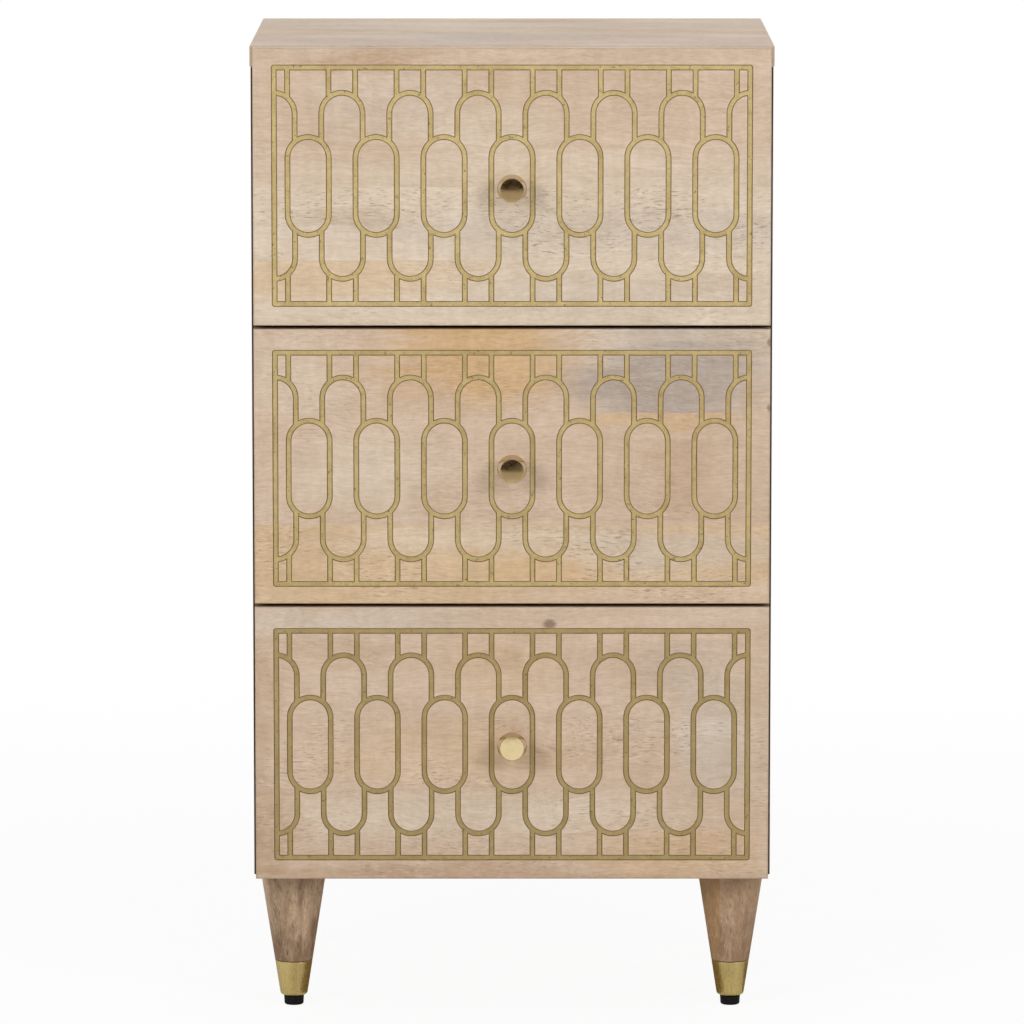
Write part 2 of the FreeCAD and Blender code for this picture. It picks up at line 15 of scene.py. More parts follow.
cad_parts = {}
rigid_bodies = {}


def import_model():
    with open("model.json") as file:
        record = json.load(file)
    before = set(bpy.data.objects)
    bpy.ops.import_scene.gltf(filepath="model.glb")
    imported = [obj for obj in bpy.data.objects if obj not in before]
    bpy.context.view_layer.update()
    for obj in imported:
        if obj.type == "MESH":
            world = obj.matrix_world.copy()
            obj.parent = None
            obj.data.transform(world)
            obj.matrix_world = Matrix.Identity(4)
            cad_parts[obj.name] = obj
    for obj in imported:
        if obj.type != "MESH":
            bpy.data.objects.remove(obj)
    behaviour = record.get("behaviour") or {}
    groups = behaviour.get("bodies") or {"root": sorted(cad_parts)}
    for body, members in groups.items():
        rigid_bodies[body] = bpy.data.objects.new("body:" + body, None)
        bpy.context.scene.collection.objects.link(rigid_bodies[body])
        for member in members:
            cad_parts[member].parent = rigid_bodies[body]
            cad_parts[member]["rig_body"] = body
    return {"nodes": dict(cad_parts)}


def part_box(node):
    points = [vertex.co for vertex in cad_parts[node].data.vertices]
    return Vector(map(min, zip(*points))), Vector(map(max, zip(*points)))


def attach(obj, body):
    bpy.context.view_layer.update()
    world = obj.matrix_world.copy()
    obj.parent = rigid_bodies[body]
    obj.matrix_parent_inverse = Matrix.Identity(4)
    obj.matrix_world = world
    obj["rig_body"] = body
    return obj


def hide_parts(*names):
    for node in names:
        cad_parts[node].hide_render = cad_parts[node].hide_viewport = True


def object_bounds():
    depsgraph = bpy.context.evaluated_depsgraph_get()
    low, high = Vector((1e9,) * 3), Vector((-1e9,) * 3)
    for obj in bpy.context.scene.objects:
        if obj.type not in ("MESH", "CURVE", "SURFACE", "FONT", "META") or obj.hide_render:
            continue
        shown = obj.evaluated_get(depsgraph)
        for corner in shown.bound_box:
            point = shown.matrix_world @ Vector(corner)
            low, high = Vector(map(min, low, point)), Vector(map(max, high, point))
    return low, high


bl_info = {
    "name": "Lattice Drawer Chest",
    "version": (1, 0, 0),
    "blender": (4, 5, 0),
    "location": "View3D > Sidebar > Chest",
    "description": "Whitewashed chest with three carved and gilded drawers on tapered legs",
    "category": "Object",
}

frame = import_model()
cad_low, cad_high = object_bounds()

MM = 0.001
LEVELS = ("top", "middle", "bottom")
CORNERS = ("front_left", "front_right", "rear_left", "rear_right")

# Distances and angles used to read the frame's meshes
MERGE = 1e-6
TOUCH = 1e-5
FLAT_ANGLE = math.radians(0.5)
CREASE_ANGLE = math.radians(40)
CORNER_ANGLE = math.radians(60)

Stain = namedtuple("Stain", "tint x z half_width half_height strength")
Plank = namedtuple("Plank", "seam tint flecking stains")


def screen_tint(red, green, blue):
    """Linear colour of a tint given as screen values from 0 to 255."""
    def linear(value):
        share = value / 255
        return share / 12.92 if share <= 0.04045 else ((share + 0.055) / 1.055) ** 2.4

    return (linear(red), linear(green), linear(blue))


def length_property(label, text, value):
    """Length that a user may change, in metres."""
    return FloatProperty(name=label, description=text, default=value, min=0, unit="LENGTH", precision=5)


def count_property(label, text, value, least):
    """Number of faces that a user may change."""
    return IntProperty(name=label, description=text, default=value, min=least)


def power_property(label, text, value):
    """Power of a lamp that a user may change, in watts."""
    return FloatProperty(name=label, description=text, default=value, min=0, unit="POWER")


def tint_property(label, text, red, green, blue):
    """Colour that a user may change, from screen values."""
    return FloatVectorProperty(
        name=label, description=text, default=screen_tint(red, green, blue),
        size=3, min=0, max=1, subtype="COLOR",
    )


class ChestShape(bpy.types.PropertyGroup):
    """Roundings, depth of the carving and numbers of faces."""

    board_ease: length_property("Board ease", "Rounding of the outer edges of the boards", 0.7 * MM)
    box_ease: length_property("Drawer box ease", "Rounding of the edges of the drawer boxes", 1.0 * MM)
    rail_ease: length_property("Rail ease", "Rounding of the folded edges of the runners", 0.5 * MM)
    groove_depth: length_property("Groove depth", "Depth of the carved lattice", 1.2 * MM)
    groove_rim: length_property("Groove rim", "Rounding where a groove meets the face", 0.2 * MM)
    groove_bed: length_property("Groove bed", "Rounding along the bed of a groove", 0.6 * MM)
    rim_ease: length_property("Rim ease", "Rounding of the knobs' rims and the legs' shoulders", 0.4 * MM)
    turned_ease: length_property("Turned ease", "Rounding of leg tops, glides and knob roots", 0.6 * MM)
    neck_ease: length_property("Neck ease", "Rounding where a knob's stem widens", 1.5 * MM)
    flare_ease: length_property("Flare ease", "Rounding under a knob's head", 1.2 * MM)
    cup_ease: length_property("Ferrule ease", "Rounding of a ferrule's upper rim", 0.25 * MM)
    tip_ease: length_property("Tip ease", "Rounding of a ferrule's lower edge", 2.2 * MM)
    sole_ease: length_property("Sole ease", "Rounding of a glide's sole", 1.3 * MM)
    ease_steps: count_property("Ease steps", "Faces across a rounding", 3, 1)
    foot_steps: count_property("Foot steps", "Faces across the roundings of tips and soles", 6, 1)
    turned_sides: count_property("Turned sides", "Faces round a turned piece", 96, 12)
    screw_sides: count_property("Screw sides", "Faces round a screw", 24, 8)


class ChestTints(bpy.types.PropertyGroup):
    """Colours of the wood, the gilding and the metal."""

    pale: tint_property("Pale", "Whitewash over light planks", 210, 192, 170)
    rose: tint_property("Rose", "Whitewash over pinkish planks", 202, 178, 155)
    honey: tint_property("Honey", "Yellowish planks", 205, 177, 143)
    amber: tint_property("Amber", "Orange heart stain", 201, 164, 116)
    slate: tint_property("Slate", "Grey stain", 175, 160, 147)
    ash: tint_property("Ash", "Cool, greyish whitewash", 200, 184, 166)
    umber: tint_property("Umber", "Brownish stain", 172, 140, 108)
    whitewash: tint_property("Whitewash", "White caught in the pores", 226, 212, 196)
    fleck: tint_property("Fleck", "Pores and short dark flecks of the grain", 130, 102, 78)
    # The knot colour is also the painted shade in the slots between the fronts and in the gap above each
    # ferrule
    knot_and_shade: tint_property("Knot", "Small dark knots", 92, 68, 48)
    gold: tint_property("Gold", "Gold paint in the grooves", 200, 179, 126)
    # This colour is also the painted shade on the upper flanks of the knobs
    worn_gold_and_shade: tint_property("Gold shade", "Thin or worn gold paint", 176, 152, 100)
    groove_edge: tint_property("Groove edge", "Brown edges of the grooves", 120, 95, 54)
    leg: tint_property("Leg", "Legs", 190, 162, 134)
    leg_dark: tint_property("Leg streaks", "Dark streaks in the legs", 122, 95, 70)
    leg_tan: tint_property("Leg tan", "Yellowish stave of a leg", 178, 143, 103)
    box_wood: tint_property("Box wood", "Plain wood inside the chest", 205, 178, 143)
    ply: tint_property("Plywood", "Plywood of the back and the drawer bases", 212, 188, 153)
    # Painted shade: the carcass's front edges drawn dark for the shade in the gap behind the drawer fronts
    shadow: tint_property("Gap shade", "Painted shade on the front edges of the carcass", 32, 22, 15)
    brass: tint_property("Brass", "Polished brass", 223, 202, 157)
    # Painted reflection: paler brass on the knobs' flanks, where they mirror the wood
    flank_reflection: tint_property("Pale brass", "Brass round the sides of the knobs", 245, 232, 208)
    satin_brass: tint_property("Satin brass", "Satin brass of the ferrules", 215, 193, 128)
    zinc: tint_property("Zinc", "Zinc plated steel", 196, 198, 201)
    black: tint_property("Black", "Black plastic", 15, 12, 10)
    floor: tint_property("Floor", "Pale floor", 240, 240, 240)
    # Cards that only polished pieces mirror, for painted reflections and painted shade in them
    dark_card: tint_property("Dark card", "Card that the polished knobs mirror", 78, 56, 38)
    floor_shade_card: tint_property("Floor card", "Cards on the floor that the ferrules mirror", 150, 132, 100)
    mirror_dark: tint_property("Mirrored dark", "Upper cards that the two upper knobs mirror", 46, 30, 16)
    mirror_grey: tint_property("Mirrored grey", "Lower cards that the two upper knobs mirror", 178, 166, 154)


class ChestStage(bpy.types.PropertyGroup):
    """Camera and light."""

    camera_distance: length_property("Camera distance", "From the drawer fronts to the camera", 5.5)
    camera_height: length_property("Camera height", "From the floor to the camera", 1.143)
    camera_pitch: FloatProperty(
        name="Camera pitch", description="How far the camera looks down",
        default=math.radians(7.75), subtype="ANGLE",
    )
    lens: FloatProperty(
        name="Lens", description="Focal length in millimetres", default=255.0, min=1, unit="CAMERA",
    )
    sky: FloatProperty(name="Sky", description="Strength of the light all round", default=0.20, min=0)
    key: power_property("Key", "Power of the soft box overhead", 16.0)
    side: power_property("Side", "Power of each soft box at the sides", 37.0)
    back: power_property("Back", "Power of the soft box behind the chest", 40.0)


# Planks of the drawer fronts from the bottom edge up. Seams and stains are placed from the middle of the
# front's bottom edge, and each stain stays on its plank.
FRONT_PLANKS = {
    "top": (
        Plank(0, "pale", 0.5, (
            Stain("honey", -0.150, 0.040, 0.150, 0.022, 0.7),
            Stain("ash", 0.090, 0.022, 0.120, 0.018, 0.5),
            Stain("umber", 0.150, 0.030, 0.050, 0.012, 0.2),
        )),
        Plank(50 * MM, "pale", 1.0, (
            Stain("ash", 0.080, 0.075, 0.260, 0.022, 0.8),
            Stain("umber", -0.120, 0.085, 0.050, 0.008, 0.25),
        )),
        Plank(106 * MM, "rose", 0.3, (
            Stain("ash", -0.090, 0.170, 0.070, 0.030, 0.5),
            Stain("umber", -0.110, 0.203, 0.060, 0.010, 0.45),
            Stain("pale", -0.020, 0.150, 0.060, 0.020, 0.7),
            Stain("pale", 0.020, 0.108, 0.280, 0.030, 0.7),
        )),
    ),
    "middle": (
        Plank(0, "honey", 1.0, (
            Stain("pale", -0.030, 0.050, 0.130, 0.014, 0.6),
            Stain("ash", 0.120, 0.040, 0.090, 0.020, 0.7),
            Stain("amber", 0.030, 0.022, 0.060, 0.012, 0.3),
            Stain("rose", 0.120, 0.008, 0.150, 0.012, 0.6),
        )),
        Plank(61 * MM, "rose", 0.4, (
            Stain("pale", -0.110, 0.100, 0.060, 0.040, 0.7),
            Stain("umber", 0.128, 0.098, 0.025, 0.034, 0.3),
            Stain("umber", 0.150, 0.095, 0.080, 0.045, 0.2),
            Stain("amber", 0.115, 0.142, 0.075, 0.009, 0.5),
        )),
        Plank(147.5 * MM, "rose", 0.5, (
            Stain("amber", -0.020, 0.190, 0.085, 0.044, 0.8),
            Stain("ash", 0.130, 0.200, 0.110, 0.030, 0.7),
            Stain("slate", 0.120, 0.172, 0.085, 0.040, 1.0),
            Stain("pale", -0.170, 0.170, 0.040, 0.040, 0.5),
            Stain("knot_and_shade", 0.1965, 0.202, 0.002, 0.004, 0.5),
            Stain("knot_and_shade", 0.1965, 0.151, 0.002, 0.003, 0.5),
        )),
    ),
    "bottom": (
        Plank(0, "rose", 0.7, (
            Stain("pale", -0.040, 0.050, 0.160, 0.022, 0.8),
            Stain("umber", -0.190, 0.040, 0.028, 0.045, 0.5),
            Stain("amber", 0.130, 0.020, 0.075, 0.022, 0.4),
            Stain("umber", -0.050, 0.004, 0.200, 0.010, 0.45),
        )),
        Plank(71 * MM, "rose", 0.9, (
            Stain("umber", 0.020, 0.100, 0.090, 0.012, 0.35),
            Stain("ash", 0.155, 0.105, 0.035, 0.040, 0.9),
            Stain("honey", -0.050, 0.100, 0.120, 0.030, 0.5),
            Stain("umber", -0.194, 0.100, 0.016, 0.040, 0.3),
        )),
        Plank(127 * MM, "rose", 0.3, (
            Stain("ash", -0.140, 0.200, 0.120, 0.014, 0.6),
            Stain("slate", 0.130, 0.165, 0.040, 0.022, 0.3),
            Stain("ash", 0.155, 0.130, 0.036, 0.034, 0.8),
            Stain("honey", -0.010, 0.165, 0.060, 0.030, 0.5),
            Stain("umber", -0.005, 0.172, 0.020, 0.012, 0.35),
            Stain("umber", -0.130, 0.181, 0.045, 0.014, 0.3),
            Stain("umber", -0.194, 0.150, 0.016, 0.040, 0.3),
            Stain("knot_and_shade", 0.029, 0.199, 0.006, 0.004, 0.65),
        )),
    ),
}

# A stain no wider than this is a knot, which keeps its place and its round form and goes only so deep
SMALL_STAIN = 10 * MM
KNOT_DEPTH = 4 * MM

# Half the width over which one plank of a front passes into the next
SEAM_BLUR = 0.15 * MM

# Edges of each front that look into a slot between two drawers: 1 up, -1 down. They are drawn dark as
# painted shade for the slot, from nothing to the full strength over a stretch behind the face.
SLOT_EDGES = {"top": (-1.0,), "middle": (1.0, -1.0), "bottom": (1.0,)}
SLOT_SHADE_START = 2 * MM
SLOT_SHADE_FULL = 6 * MM
SLOT_SHADE = 0.45

# How much of the gold stays bright on each front; the rest turns to the groove's brown as painted shade,
# deeper on the lower fronts
GOLD_UNSHADED = {"top": 1.0, "middle": 0.88, "bottom": 0.56}


class Finish:
    """A material or world in the making: each call adds a node and hands back its output."""

    def __init__(self, name, kind="materials", surface="Principled BSDF"):
        self.data = getattr(bpy.data, kind).new(name)
        self.data.use_nodes = True
        self.tree = self.data.node_tree
        self.surface = self.tree.nodes[surface]

    def feed(self, socket, value):
        """Link another node's output to a socket, or set its constant."""
        if isinstance(value, bpy.types.NodeSocket):
            self.tree.links.new(value, socket)
        elif socket.type == "RGBA":
            socket.default_value = (*value, 1) if len(value) == 3 else value
        else:
            socket.default_value = value

    def node(self, kind, inputs, **settings):
        """New node with its settings and inputs, where inputs go by index or name."""
        node = self.tree.nodes.new(kind)
        for key, value in settings.items():
            setattr(node, key, value)
        for key, value in inputs.items():
            self.feed(node.inputs[key], value)
        return node

    def shade(self, **inputs):
        """Set inputs of the surface shader, with spaces written as underscores."""
        for key, value in inputs.items():
            self.feed(self.surface.inputs[key.replace("_", " ")], value)

    def place(self):
        """Place on the object."""
        return self.node("ShaderNodeTexCoord", {}).outputs["Object"]

    def normal(self):
        """Direction that the surface faces."""
        return self.node("ShaderNodeNewGeometry", {}).outputs["Normal"]

    def mapped(self, vector, location=(0, 0, 0), rotation=(0, 0, 0), scale=(1, 1, 1)):
        """Place moved, turned and scaled."""
        inputs = {"Vector": vector, "Location": location, "Rotation": rotation, "Scale": scale}
        return self.node("ShaderNodeMapping", inputs).outputs[0]

    def noise(self, vector, scale, detail=2.0, roughness=0.5, output="Fac"):
        """Cloudy noise about 0.5."""
        inputs = {"Vector": vector, "Scale": scale, "Detail": detail, "Roughness": roughness}
        return self.node("ShaderNodeTexNoise", inputs).outputs[output]

    def axis(self, vector, name):
        """One coordinate of a vector."""
        return self.node("ShaderNodeSeparateXYZ", {0: vector}).outputs[name]

    def math(self, operation, first, second=0.0):
        """Sum of two numbers, or another operation on them."""
        return self.node("ShaderNodeMath", {0: first, 1: second}, operation=operation).outputs[0]

    def vector(self, operation, first, second, third=(0, 0, 0)):
        """Sum of two vectors, or another operation on them."""
        inputs = {0: first, 1: second, 2: third}
        return self.node("ShaderNodeVectorMath", inputs, operation=operation).outputs[0]

    def length(self, vector):
        """Length of a vector."""
        return self.node("ShaderNodeVectorMath", {0: vector}, operation="LENGTH").outputs["Value"]

    def span(self, value, low, high, start=0.0, end=1.0):
        """Smooth change from start to end while a value goes from low to high."""
        inputs = {"Value": value, "From Min": low, "From Max": high, "To Min": start, "To Max": end}
        node = self.node("ShaderNodeMapRange", inputs, interpolation_type="SMOOTHSTEP")
        return node.outputs["Result"]

    def mix(self, share, first, second, blend="MIX"):
        """Two colours mixed by a share of the second."""
        node = self.node("ShaderNodeMix", {}, data_type="RGBA", blend_type=blend)
        for key, value in (("Factor_Float", share), ("A_Color", first), ("B_Color", second)):
            self.feed(next(socket for socket in node.inputs if socket.identifier == key), value)
        return next(socket for socket in node.outputs if socket.identifier == "Result_Color")

    def bump(self, height, depth, strength=1.0):
        """Relief of a given depth in metres."""
        inputs = {"Height": height, "Distance": depth, "Strength": strength}
        return self.node("ShaderNodeBump", inputs).outputs[0]

    def blend(self, share, first, second):
        """Two shaders mixed by a share of the second."""
        return self.node("ShaderNodeMixShader", {0: share, 1: first, 2: second}).outputs[0]


# Wood

GRAIN_TURNS = {"X": (0, 0, 0), "Y": (0, 0, -math.pi / 2), "Z": (0, math.pi / 2, 0)}

# Shift of the grain from one plank to the next
PLANK_JUMP = (3.1, 0.0, 1.7)


def grain_space(finish, direction, shift=(0, 0, 0)):
    """Place on the object, turned so that the grain runs along X."""
    return finish.mapped(finish.place(), location=shift, rotation=GRAIN_TURNS[direction])


def plank_space(finish, space, index):
    """Place shifted from plank to plank, so that each has a grain of its own."""
    jump = finish.vector("SCALE", PLANK_JUMP, (0, 0, 0))
    finish.feed(jump.node.inputs["Scale"], index)
    return finish.vector("ADD", space, jump)


def swung(finish, colour, field, reach):
    """Let a noise field darken and lighten a colour, warmer where it is darker."""
    dark = (1 - 0.8 * reach, 1 - reach, 1 - 1.3 * reach)
    light = (1 + 0.8 * reach, 1 + reach, 1 + 1.3 * reach)
    tone = finish.mix(finish.span(field, 0.3, 0.7), dark, light)
    return finish.mix(1.0, colour, tone, "MULTIPLY")


def grained(finish, space, colour, tints, contrast=1.0, flecking=1.0):
    """Draw the grain into a wood colour and give the surface its relief and sheen."""
    wander = finish.noise(space, 8.0, 3.0, output="Color")
    bent = finish.vector("MULTIPLY_ADD", wander, (0.0, 0.03, 0.03), space)
    clouds = finish.noise(finish.mapped(space, scale=(1, 2.2, 2.2)), 9.0, 4.0, 0.6)
    streaks = finish.noise(finish.mapped(bent, scale=(6, 130, 130)), 1.0, 4.0, 0.65)
    curls = finish.noise(finish.mapped(bent, rotation=(0, 0.5, 0.5), scale=(120, 26, 26)), 1.0, 4.0, 0.6)
    mottle = finish.noise(finish.mapped(bent, scale=(170, 300, 300)), 1.0, 3.0, 0.6)
    fibres = finish.noise(finish.mapped(bent, scale=(60, 950, 950)), 1.0, 2.0, 0.6)
    dashes = finish.noise(finish.mapped(bent, scale=(140, 1000, 1000)), 1.0, 1.5)
    crowds = finish.span(finish.noise(finish.mapped(space, scale=(1, 2, 2)), 14.0), 0.36, 0.64)
    crowds = finish.math("MULTIPLY", crowds, flecking)
    pores = finish.math("MULTIPLY", finish.span(dashes, 0.57, 0.72), crowds)
    whites = finish.math("MULTIPLY", finish.span(dashes, 0.43, 0.28), crowds)

    for field, reach in ((clouds, 0.055), (streaks, 0.05), (curls, 0.035), (mottle, 0.05), (fibres, 0.06)):
        colour = swung(finish, colour, field, reach * contrast)
    colour = finish.mix(finish.math("MULTIPLY", pores, 0.6 * contrast), colour, tints.fleck)
    colour = finish.mix(finish.math("MULTIPLY", whites, 0.5 * contrast), colour, tints.whitewash)
    relief = finish.math("SUBTRACT", finish.math("ADD", fibres, finish.math("MULTIPLY", curls, 0.5)), pores)
    finish.shade(
        Base_Color=colour,
        Roughness=finish.span(clouds, 0.25, 0.75, 0.6, 0.75),
        Specular_IOR_Level=0.22,
        Normal=finish.bump(relief, 0.12 * MM, 0.6),
    )
    return colour


def stained(finish, place, grain, colour, tint, stain, face_y):
    """Lay a stain over a colour, soft at its edge and streaked with the grain."""
    inward = 0.0 if stain.half_width > SMALL_STAIN else 1 / KNOT_DEPTH
    middle = (-stain.x / stain.half_width, -face_y * inward, -stain.z / stain.half_height)
    spread = (1 / stain.half_width, inward, 1 / stain.half_height)
    offset = finish.mapped(place, middle, (0, 0, 0), spread)
    reach = finish.math("ADD", finish.length(offset), grain)
    share = finish.span(reach, 1.2, 0.45, 0.0, stain.strength)
    return finish.mix(share, colour, tint)


def front_wood(level, tints):
    """Edge-glued planks of one drawer front, each with its own tint and stains, with painted shade on the
    edges that look into the slots.
    """
    finish = Finish(f"front_wood_{level}")
    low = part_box(f"{level}_drawer_front")[0]
    place = finish.mapped(finish.place(), location=(0, 0, -low.z))
    drift = finish.noise(place, 16.0, 6.0, 0.62, output="Color")
    drifted = finish.vector("MULTIPLY_ADD", drift, (0.06, 0.0, 0.03), place)
    drifted = finish.mapped(drifted, location=(-0.03, 0, -0.015))
    grain = finish.noise(finish.mapped(place, scale=(14, 200, 200)), 1.0, 4.0, 0.6)
    grain = finish.span(grain, 0.3, 0.7, -0.16, 0.16)
    height = finish.axis(place, "Z")
    colour = count = flecking = None
    for plank in FRONT_PLANKS[level]:
        wood = getattr(tints, plank.tint)
        for stain in plank.stains:
            ground = drifted if stain.half_width > SMALL_STAIN else place
            wood = stained(finish, ground, grain, wood, getattr(tints, stain.tint), stain, low.y)
        if colour is None:
            colour, count, flecking = wood, 0.0, plank.flecking
            continue
        above = finish.span(height, plank.seam - SEAM_BLUR, plank.seam + SEAM_BLUR)
        colour = finish.mix(above, colour, wood)
        flecking = finish.span(above, 0.0, 1.0, flecking, plank.flecking)
        count = finish.math("ADD", above, count)
    # Painted shade on the edges that look into the slots between the drawers, deeper behind the face
    upward = finish.axis(finish.normal(), "Z")
    start, full = low.y + SLOT_SHADE_START, low.y + SLOT_SHADE_FULL
    slot_shade_depth = finish.span(finish.axis(place, "Y"), start, full, 0.0, SLOT_SHADE)
    for turn in SLOT_EDGES[level]:
        edge = finish.span(finish.math("MULTIPLY", upward, turn), 0.7, 0.95)
        colour = finish.mix(finish.math("MULTIPLY", edge, slot_shade_depth), colour, tints.knot_and_shade)
    space = plank_space(finish, finish.place(), count)
    grained(finish, space, colour, tints, 1.0, flecking)
    return finish.data


def gilding(level, tints, shape):
    """Gold paint in the carved lattice, with brown edges where the carving meets the face, and painted shade
    that browns the gold of the lower fronts.
    """
    finish = Finish(f"gilded_groove_{level}")
    place = finish.place()
    face_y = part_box(f"{level}_drawer_front")[0].y
    depth = finish.math("SUBTRACT", finish.axis(place, "Y"), face_y)
    depth = finish.math("DIVIDE", depth, shape.groove_depth)
    ragged = finish.span(finish.noise(place, 260.0, 4.0, 0.65), 0.25, 0.75, -0.02, 0.02)
    depth = finish.math("ADD", depth, ragged)
    mottle = finish.noise(place, 700.0, 3.0, 0.6)
    thin = finish.span(finish.noise(place, 34.0, 4.0, 0.6), 0.35, 0.75, 0.0, 0.7)
    gold = finish.mix(thin, tints.gold, tints.worn_gold_and_shade)
    gold = swung(finish, gold, finish.noise(place, 180.0, 3.0, 0.6), 0.08)
    gold = swung(finish, gold, mottle, 0.10)
    # Painted shade: the gold darker on the lower fronts
    gold = finish.mix(1 - GOLD_UNSHADED[level], gold, tints.groove_edge)
    specks = finish.span(finish.noise(place, 420.0, 2.0), 0.63, 0.74, 0.0, 0.75)
    gold = finish.mix(specks, gold, tints.groove_edge)
    edge = swung(finish, tints.groove_edge, finish.noise(place, 140.0, 3.0, 0.6), 0.3)
    colour = finish.mix(finish.span(depth, -0.03, 0.06), tints.umber, edge)
    painted = finish.span(depth, 0.94, 0.985)
    finish.shade(
        Base_Color=finish.mix(painted, colour, gold),
        Metallic=finish.math("MULTIPLY", painted, 0.3),
        Roughness=finish.span(mottle, 0.3, 0.7, 0.42, 0.58),
        Specular_IOR_Level=0.3,
        Normal=finish.bump(mottle, 0.06 * MM, 0.5),
    )
    return finish.data


# Planks of the carcass boards, and the painted shade on their front edges, which stands for the shade in the
# gap behind the drawer fronts: how deep it is full, and its end
PLANK_WIDTH = 78 * MM
EDGE_SHADE_FULL = 0.3 * MM
EDGE_SHADE_END = 1.0 * MM


def board_wood(name, direction, tints, edge_y):
    """Edge-glued boards of the carcass, whitewashed, with painted shade on the edges in one plane at the
    front.
    """
    finish = Finish(name)
    space = grain_space(finish, direction)
    index = finish.math("FLOOR", finish.math("DIVIDE", finish.axis(space, "Y"), PLANK_WIDTH))
    chance = finish.node("ShaderNodeTexWhiteNoise", {"W": index}, noise_dimensions="1D").outputs["Color"]
    colour = finish.mix(finish.span(finish.axis(chance, "X"), 0.1, 0.9), tints.rose, tints.honey)
    colour = finish.mix(finish.span(finish.axis(chance, "Y"), 0.4, 0.9, 0.0, 0.8), colour, tints.pale)
    space = plank_space(finish, space, index)
    for tint, shift, stretch, strength in (
        (tints.pale, 0.0, (3, 9, 9), 0.5), (tints.honey, 4.0, (3, 14, 14), 0.6),
        (tints.amber, 8.0, (2, 18, 18), 0.5), (tints.slate, 12.0, (4, 9, 9), 0.5),
    ):
        patch = finish.noise(finish.mapped(space, (shift, 0, 0), (0, 0, 0), stretch), 1.0, 5.0, 0.6)
        colour = finish.mix(finish.span(patch, 0.54, 0.72, 0.0, strength), colour, tint)
    colour = grained(finish, space, colour, tints, 0.9, 0.7)
    if edge_y is not None:
        # Painted shade on the front edges, for the shade in the gap behind the drawer fronts
        facing = finish.span(finish.axis(finish.normal(), "Y"), -0.6, -0.9)
        near = finish.axis(finish.place(), "Y")
        near = finish.span(near, edge_y + EDGE_SHADE_END, edge_y + EDGE_SHADE_FULL)
        dark = finish.math("MULTIPLY", finish.math("MULTIPLY", facing, near), 0.97)
        finish.shade(Base_Color=finish.mix(dark, colour, tints.shadow))
    return finish.data


def plain_wood(name, direction, tints):
    """Sanded, unpainted wood inside the chest."""
    finish = Finish(name)
    space = grain_space(finish, direction)
    warm = finish.span(finish.noise(space, 6.0, 3.0), 0.35, 0.7, 0.0, 0.6)
    colour = finish.mix(warm, tints.box_wood, tints.honey)
    grained(finish, space, colour, tints, 1.2, 0.5)
    return finish.data


def plywood(name, direction, tints):
    """Thin plywood with rotary-cut figure."""
    finish = Finish(name)
    space = grain_space(finish, direction)
    broad = finish.noise(finish.mapped(space, scale=(0.7, 7, 7)), 4.0, 3.0, 0.55)
    bands = finish.math("FRACT", finish.math("MULTIPLY", broad, 7.0))
    share = finish.span(finish.math("ABSOLUTE", finish.math("SUBTRACT", bands, 0.5)), 0.1, 0.5, 0.0, 0.5)
    colour = finish.mix(share, tints.ply, tints.honey)
    grained(finish, space, colour, tints, 0.9, 0.4)
    return finish.data


# Legs glued up from two staves: how far the glue line lies to the side of the leg's axis
LEG_SEAMS = {"front_right": -9 * MM, "rear_left": 6 * MM}
LEG_SEAM_BLUR = 0.4 * MM

# Shift of the grain from leg to leg, and the heights between which a leg darkens towards its foot
LEG_JUMP = 0.37
LEG_PALE_FROM = 85 * MM
LEG_DARK_TO = 40 * MM

# Painted shade where a leg meets its ferrule, for the shadow in the gap at its shoulder: how far above the
# rim it is full, and where it ends
JOINT_SHADE_FULL = 0.5 * MM
JOINT_SHADE_END = 1.3 * MM


